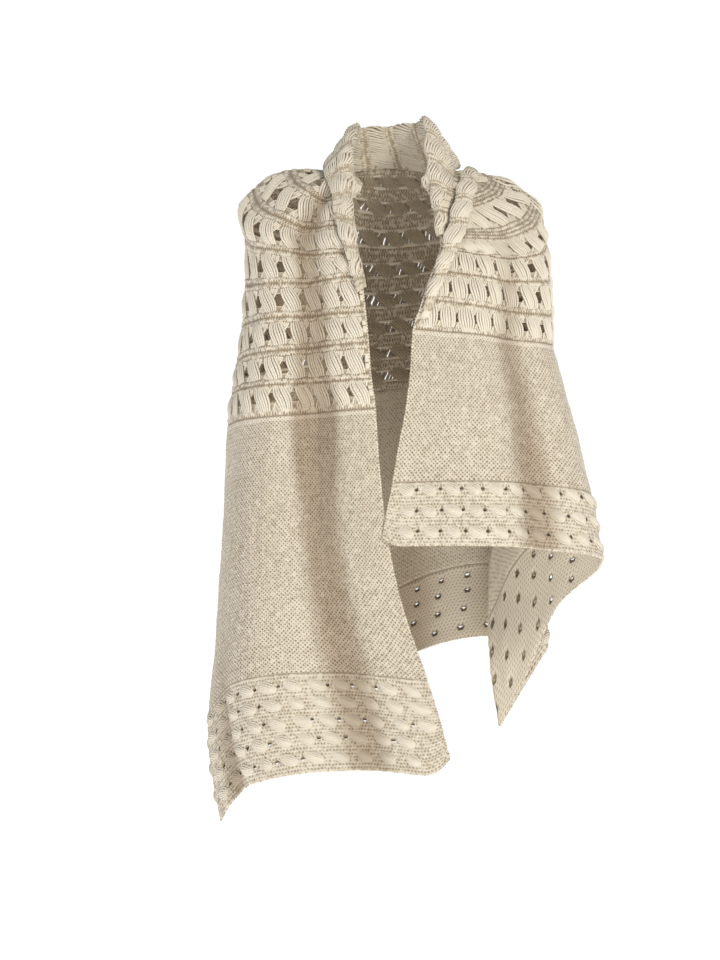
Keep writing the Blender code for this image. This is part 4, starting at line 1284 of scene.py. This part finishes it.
# ---------------------------------------------------------------- edges
def edge_line(row, column):
    """Points, directions and outward normals of edge stitches along a run of rows and columns."""
    row, column = (np.array(part, float) for part in np.broadcast_arrays(row, column))
    steps = run_along(on(GARMENT, row, column, np.zeros(len(row))))
    stops = np.arange(EDGE_PITCH / 2, steps[-1], EDGE_PITCH)
    row, column = np.interp(stops, steps, row), np.interp(stops, steps, column)
    points = on(GARMENT, row, column, np.zeros(len(row)))
    return points, np.gradient(points, axis=0), read(GARMENT, "out", row, column)


def make_edges(finish):
    """Chain stitches up both fronts and the bind-off along the hem."""
    down = np.linspace(0.05, HEM - 0.03, 900)
    round_hem = np.linspace(0.001, END - 0.001, 1400)
    runs = (
        edge_line(down, EDGE_INSET),
        edge_line(HEM - 0.01, round_hem),
        edge_line(down, END - EDGE_INSET),
    )
    points, along, out = (np.concatenate(part) for part in zip(*runs))
    along /= np.linalg.norm(along, axis=1, keepdims=True)
    rng = np.random.default_rng(3)
    size = np.array(EDGE_STITCH) * rng.uniform(0.9, 1.1, (len(points), 1))
    carried = {"outward": out, "lengthwise": along, "size": size}
    made = grown("edge_stitches", points, np.zeros((0, 2), int), carried, BEAD_TREE, 6, finish)
    drop_attributes(made.data, carried)
    add_heights(made.data, "relief", np.full(len(made.data.vertices), 0.0005))
    return made


# ---------------------------------------------------------------- yarn and knit finishes
BLOTCH, UNEVEN, FLECK = 14.0, 170.0, 900.0  # scales of noise over the garment, a stitch and a fibre
STITCH = 2.0  # width and height of a plain stitch on the knit map
TWIST = 2 * math.pi / 0.0030  # the plies of a strand go round once in 3 mm
ABOVE_ZERO = 500.0  # whole turns, added so that no place lies below 0
# Yarn colour on its lit crowns, then the painted shade, painted fold shade and painted eyelet shadow that
# the finishes mix in.
LIGHT_CREAM = (0.84, 0.755, 0.615)
PAINTED_DEEP_SHADE = (0.38, 0.295, 0.195)
PAINTED_SOFT_SHADE = (0.47, 0.38, 0.26)
FOLD_SHADE = (0.62, 0.56, 0.50, 1)
PAINTED_EYELET_SHADOW = (0.085, 0.060, 0.036, 1)
MATT = {
    "Roughness": 0.88,
    "Specular IOR Level": 0.25,
    "Sheen Weight": 0.18,
    "Sheen Roughness": 0.6,
}


def calc(tree, operation, *values):
    """The result of a math node over one or two values or outputs."""
    return node(tree, "ShaderNodeMath", enumerate(values), operation=operation).outputs[0]


def ranged(tree, value, limits, how="LINEAR"):
    """A value carried from (first, last) to 0 and 1, or to the third and fourth of limits."""
    labels = dict(zip(("From Min", "From Max", "To Min", "To Max"), limits))
    return node(tree, "ShaderNodeMapRange", {"Value": value, **labels}, interpolation_type=how).outputs[0]


def mixed(tree, share, first, second, how="MIX"):
    """One colour mixed with a second, or multiplied by it, by share."""
    colours = {0: share, 6: first, 7: second}
    return node(tree, "ShaderNodeMix", colours, data_type="RGBA", blend_type=how).outputs[2]


def noise(tree, where, scale, detail):
    """A noise pattern read at where."""
    inputs = {"Vector": where, "Scale": scale, "Detail": detail}
    return node(tree, "ShaderNodeTexNoise", inputs).outputs["Fac"]


def strand_twist(tree, x, y):
    """How high a strand's own twist stands."""
    lean = calc(tree, "ADD", calc(tree, "MULTIPLY", x, TWIST), calc(tree, "MULTIPLY", y, TWIST))
    return calc(tree, "SINE", lean)


def plain_legs(tree, x, y):
    """How high the leaning legs of plain stitches stand."""
    side = calc(tree, "FRACT", calc(tree, "DIVIDE", x, STITCH))
    side = calc(tree, "ABSOLUTE", calc(tree, "SUBTRACT", side, 0.5))
    leg = calc(tree, "SINE", calc(tree, "MULTIPLY", side, 2 * math.pi))
    up = calc(tree, "SUBTRACT", calc(tree, "DIVIDE", y, STITCH), side)
    up = calc(tree, "FRACT", calc(tree, "ADD", up, ABOVE_ZERO))
    loop = calc(tree, "SINE", calc(tree, "MULTIPLY", up, math.pi))
    return calc(tree, "MULTIPLY", leg, loop)


def garter_beads(tree, x, y, beads):
    """Two ridges of beads that zigzag beside each furrow: 1 on the beads, 0 in the dots between them."""
    period, start, middle, sway, half, reach = beads
    turn = calc(tree, "DIVIDE", calc(tree, "ADD", y, start), period)
    turn = calc(tree, "FRACT", calc(tree, "ADD", turn, ABOVE_ZERO + 0.5))
    turn = calc(tree, "ABSOLUTE", calc(tree, "SUBTRACT", turn, 0.5))
    away = calc(tree, "MULTIPLY", turn, period)
    swing = calc(tree, "COSINE", calc(tree, "MULTIPLY", x, math.pi))
    crest = calc(tree, "ADD", calc(tree, "MULTIPLY", swing, sway), middle)
    off = calc(tree, "DIVIDE", calc(tree, "SUBTRACT", away, crest), half)
    bead = calc(tree, "SUBTRACT", 1.0, calc(tree, "MULTIPLY", off, off))
    link = calc(tree, "COSINE", calc(tree, "MULTIPLY", x, 2 * math.pi))
    link = calc(tree, "ADD", calc(tree, "MULTIPLY", link, 0.25), 0.75)
    bead = calc(tree, "MAXIMUM", calc(tree, "MULTIPLY", bead, link), calc(tree, "SUBTRACT", away, reach))
    return calc(tree, "MINIMUM", calc(tree, "MAXIMUM", bead, 0.0), 1.0)


def pit_depth(tree, x, y):
    """How deep a place lies in the staggered pits between plain stitches, 0 to 1."""
    turn = 2 * math.pi / STITCH
    across, down = (calc(tree, "COSINE", calc(tree, "MULTIPLY", part, turn)) for part in (x, y))
    return ranged(tree, calc(tree, "MULTIPLY", across, down), (0.1, 0.95), "SMOOTHSTEP")


def stitches_of(tree, pattern):
    """How high the yarn stands at a place of the knit map, and how deep in a dot between stitches."""
    knit_map = node(tree, "ShaderNodeUVMap", uv_map="knit")
    split = node(tree, "ShaderNodeSeparateXYZ", {0: knit_map.outputs[0]})
    x, y = split.outputs[0], split.outputs[1]
    if pattern == "twist":
        return strand_twist(tree, x, y), None
    if pattern == "legs":
        return plain_legs(tree, x, y), pit_depth(tree, x, y)
    height = garter_beads(tree, x, y, pattern)
    return height, calc(tree, "SUBTRACT", 1.0, height)


def cotton(name, light, shade, pattern, depth, dots=0.8, ragged=(0.15, 1.7)):
    """Matt undyed cotton yarn with fine loose fibres, and painted shade: pale on its crowns,
    browner where its relief is low and in the dots between stitches, darker in fold troughs,
    and dark brown on the far rims of eyelets.

    pattern is "twist", "legs" or the measures of garter beads, and depth how far it stands out.
    dots is how much painted shade darkens the dots between stitches, and ragged the range
    that this varies over.
    """
    made = bpy.data.materials.new(name)
    made.use_nodes = True
    tree = made.node_tree
    height, dot = stitches_of(tree, pattern)
    place = node(tree, "ShaderNodeTexCoord").outputs["Object"]
    fleck = noise(tree, place, FLECK, 2.0)
    relief, hollow = (
        node(tree, "ShaderNodeAttribute", attribute_name=label).outputs["Fac"]
        for label in ("relief", "hollow")
    )
    # Painted shade: the lower the relief, the nearer the colour comes to the shade colour.
    tint = ranged(tree, relief, (-1.3, 0.6), "SMOOTHSTEP")
    # Random tone of the yarn and its fibres, and a little painted light on the crowns of stitches.
    parts = [(noise(tree, place, BLOTCH, 2.0), 0.25), (fleck, 0.30), (height, 0.12)]
    if dot is not None:
        # Painted shade in the dots between stitches, stronger or weaker at random.
        uneven = ranged(tree, noise(tree, place, UNEVEN, 0.0), (0.32, 0.68, *ragged))
        parts.append((calc(tree, "MULTIPLY", dot, uneven), -dots))
    for part, weight in parts:
        tint = calc(tree, "ADD", tint, calc(tree, "MULTIPLY", part, weight))
    colour = mixed(tree, ranged(tree, tint, (0.25, 1.20)), (*shade, 1), (*light, 1))
    # Painted shade in the fold troughs: the colour is multiplied towards FOLD_SHADE as the fold goes deeper.
    colour = mixed(tree, ranged(tree, hollow, (1.0, 13.0), "SMOOTHSTEP"), colour, FOLD_SHADE, "MULTIPLY")
    # Painted shadow: the far rims of eyelets and the deepest pits turn dark brown.
    colour = mixed(tree, ranged(tree, relief, (-1.5, -2.6), "SMOOTHSTEP"), colour, PAINTED_EYELET_SHADOW)
    fibre = node(tree, "ShaderNodeBump", {"Height": fleck, "Strength": 0.5, "Distance": 0.0003})
    stitch = {"Height": height, "Strength": 0.8, "Distance": depth, "Normal": fibre.outputs[0]}
    raised = node(tree, "ShaderNodeBump", stitch)
    surface = {"Base Color": colour, "Normal": raised.outputs[0]}
    feed(tree, tree.nodes["Principled BSDF"], {**MATT, **surface})
    return made


# Finishes of the yarn: each paints shade from relief, fold depth and dots, on the long stitches' sides and
# in the knit's pits and dots.
YARN = cotton("cotton long stitches", (0.86, 0.785, 0.65), (0.47, 0.385, 0.27), "twist", 0.0002)
PLAIN = cotton("cotton plain knit", LIGHT_CREAM, PAINTED_DEEP_SHADE, "legs", 0.0009)
GARTER = cotton("cotton garter knit", LIGHT_CREAM, PAINTED_DEEP_SHADE, YOKE_BEADS, 0.0012, 0.98, (0.2, 1.7))
BORDER = cotton("cotton border knit", LIGHT_CREAM, PAINTED_SOFT_SHADE, BORDER_BEADS, 0.0012, 0.75, (-0.2, 1.6))
COLLAR = cotton("cotton collar knit", LIGHT_CREAM, PAINTED_SOFT_SHADE, ROLL_BEADS, 0.0010, 0.9, (0.2, 1.7))
STRAND_TREE = strand_tree()
BEAD_TREE = bead_tree()


def hand_over(sheet, node_name, details):
    """Ties a sheet and the stitches on it to the frame, and hides the part that it stands for."""
    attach(sheet, "root")
    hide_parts(node_name)
    for detail in details:
        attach(detail, "root")


SEAMS = {"right_front": (0, 1), "back": (1, 1), "left_front": (1, 0)}  # 1 where an end is sewn
edges = make_edges(BORDER)
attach(edges, "root")
for panel, seams in SEAMS.items():
    yoke_foot, border_head = YOKES[panel][0][-1], BORDERS[panel][0]
    garter, long_stitches = make_yoke(panel, seams, GARTER)
    body = make_body(panel, seams, PLAIN)
    border, leaves = make_border(panel, seams, BORDER)
    on_border = [leaves, edges] if panel == "back" else [leaves]
    for sheet, part, slot, top, foot, held, rests_on, details in (
        (garter, "yoke", "lace_knit", 0.0, yoke_foot, "draped", [], [long_stitches]),
        (body, "body", "plain_knit", yoke_foot, border_head, "hung", [garter], []),
        (border, "border", "border_knit", border_head, HEM, "hung", [body], on_border),
    ):
        hand_over(sheet, f"{panel}_{part}", details)

COLLAR_CALM = ((0.0, 0.25, 0.40, 2.0), (0.5, 0.5, 1.0, 1.0))  # flatter at its right front end
LAPEL_CALM = ((0.0, 2.0), (0.9, 0.9))
ROLLS = (
    ("collar", collar_grid(), 60, (0.0, 1.0, 0.3), 0.025, COLLAR_CALM, True),
    ("left_lapel", lapel_grid(), 40, (0.3, -1.0, 0.2), 0.022, LAPEL_CALM, False),
)
for name, grid, width_steps, outside, lace, calm, pierced in ROLLS:
    net = roll_net(grid, width_steps, outside)
    roll, stitches = make_roll(name, net, COLLAR, lace, calm, pierced)
    hand_over(roll, name, [stitches])


# ---------------------------------------------------------------- floor, light and camera
FLOOR_Z, FLOOR_HALF = -1.35, 40


def plain_floor():
    """A large pale floor under the garment."""
    mesh = bpy.data.meshes.new("floor")
    corners = ((-1, -1), (1, -1), (1, 1), (-1, 1))
    mesh.from_pydata([(FLOOR_HALF * x, FLOOR_HALF * y, FLOOR_Z) for x, y in corners], [], [(0, 1, 2, 3)])
    finish = bpy.data.materials.new("pale floor")
    finish.use_nodes = True
    feed(finish.node_tree, finish.node_tree.nodes["Principled BSDF"], {
        "Base Color": (0.93, 0.93, 0.93, 1),
        "Roughness": 0.9,
        "Emission Color": (1, 1, 1, 1),
        "Emission Strength": 0.85,
    })
    mesh.materials.append(finish)
    placed("floor", mesh)


def lamp(name, place, target, size, power, colour):
    """A soft square lamp aimed at a point."""
    data = bpy.data.lights.new(name, "AREA")
    data.size = size
    data.energy = power
    data.color = colour
    made = placed(name, data)
    made.location = place
    made.rotation_euler = (Vector(target) - Vector(place)).to_track_quat("-Z", "Y").to_euler()


def camera():
    """Level with the waist, straight in front, six metres away."""
    data = bpy.data.cameras.new("camera")
    data.sensor_width = 36
    data.lens = 149.0
    made = placed("camera", data)
    made.location = (-0.0459, -6.0, -0.466)
    made.rotation_euler = (math.radians(90), 0, 0)
    bpy.context.scene.camera = made


def surroundings():
    """White all round to look at, and a softer sky to light with."""
    world = bpy.data.worlds.new("studio")
    world.use_nodes = True
    tree = world.node_tree
    sky = tree.nodes["Background"]
    feed(tree, sky, {"Color": (0.94, 0.97, 1.0, 1), "Strength": 0.33})
    seen = node(tree, "ShaderNodeBackground", {"Color": (1, 1, 1, 1), "Strength": 1.05})
    ray = node(tree, "ShaderNodeLightPath").outputs["Is Camera Ray"]
    choose = node(tree, "ShaderNodeMixShader", {0: ray, 1: sky.outputs[0], 2: seen.outputs[0]})
    feed(tree, tree.nodes["World Output"], {"Surface": choose.outputs[0]})
    bpy.context.scene.world = world
    bpy.context.scene.view_settings.view_transform = "Standard"


plain_floor()
surroundings()
camera()
lamp("key", (2.1, -3.4, 2.1), (0.0, 0.0, -0.4), 1.0, 86, (1.0, 0.955, 0.88))
lamp("fill", (-2.6, -3.2, -0.5), (0.0, 0.0, -0.5), 1.2, 15, (1.0, 0.97, 0.94))
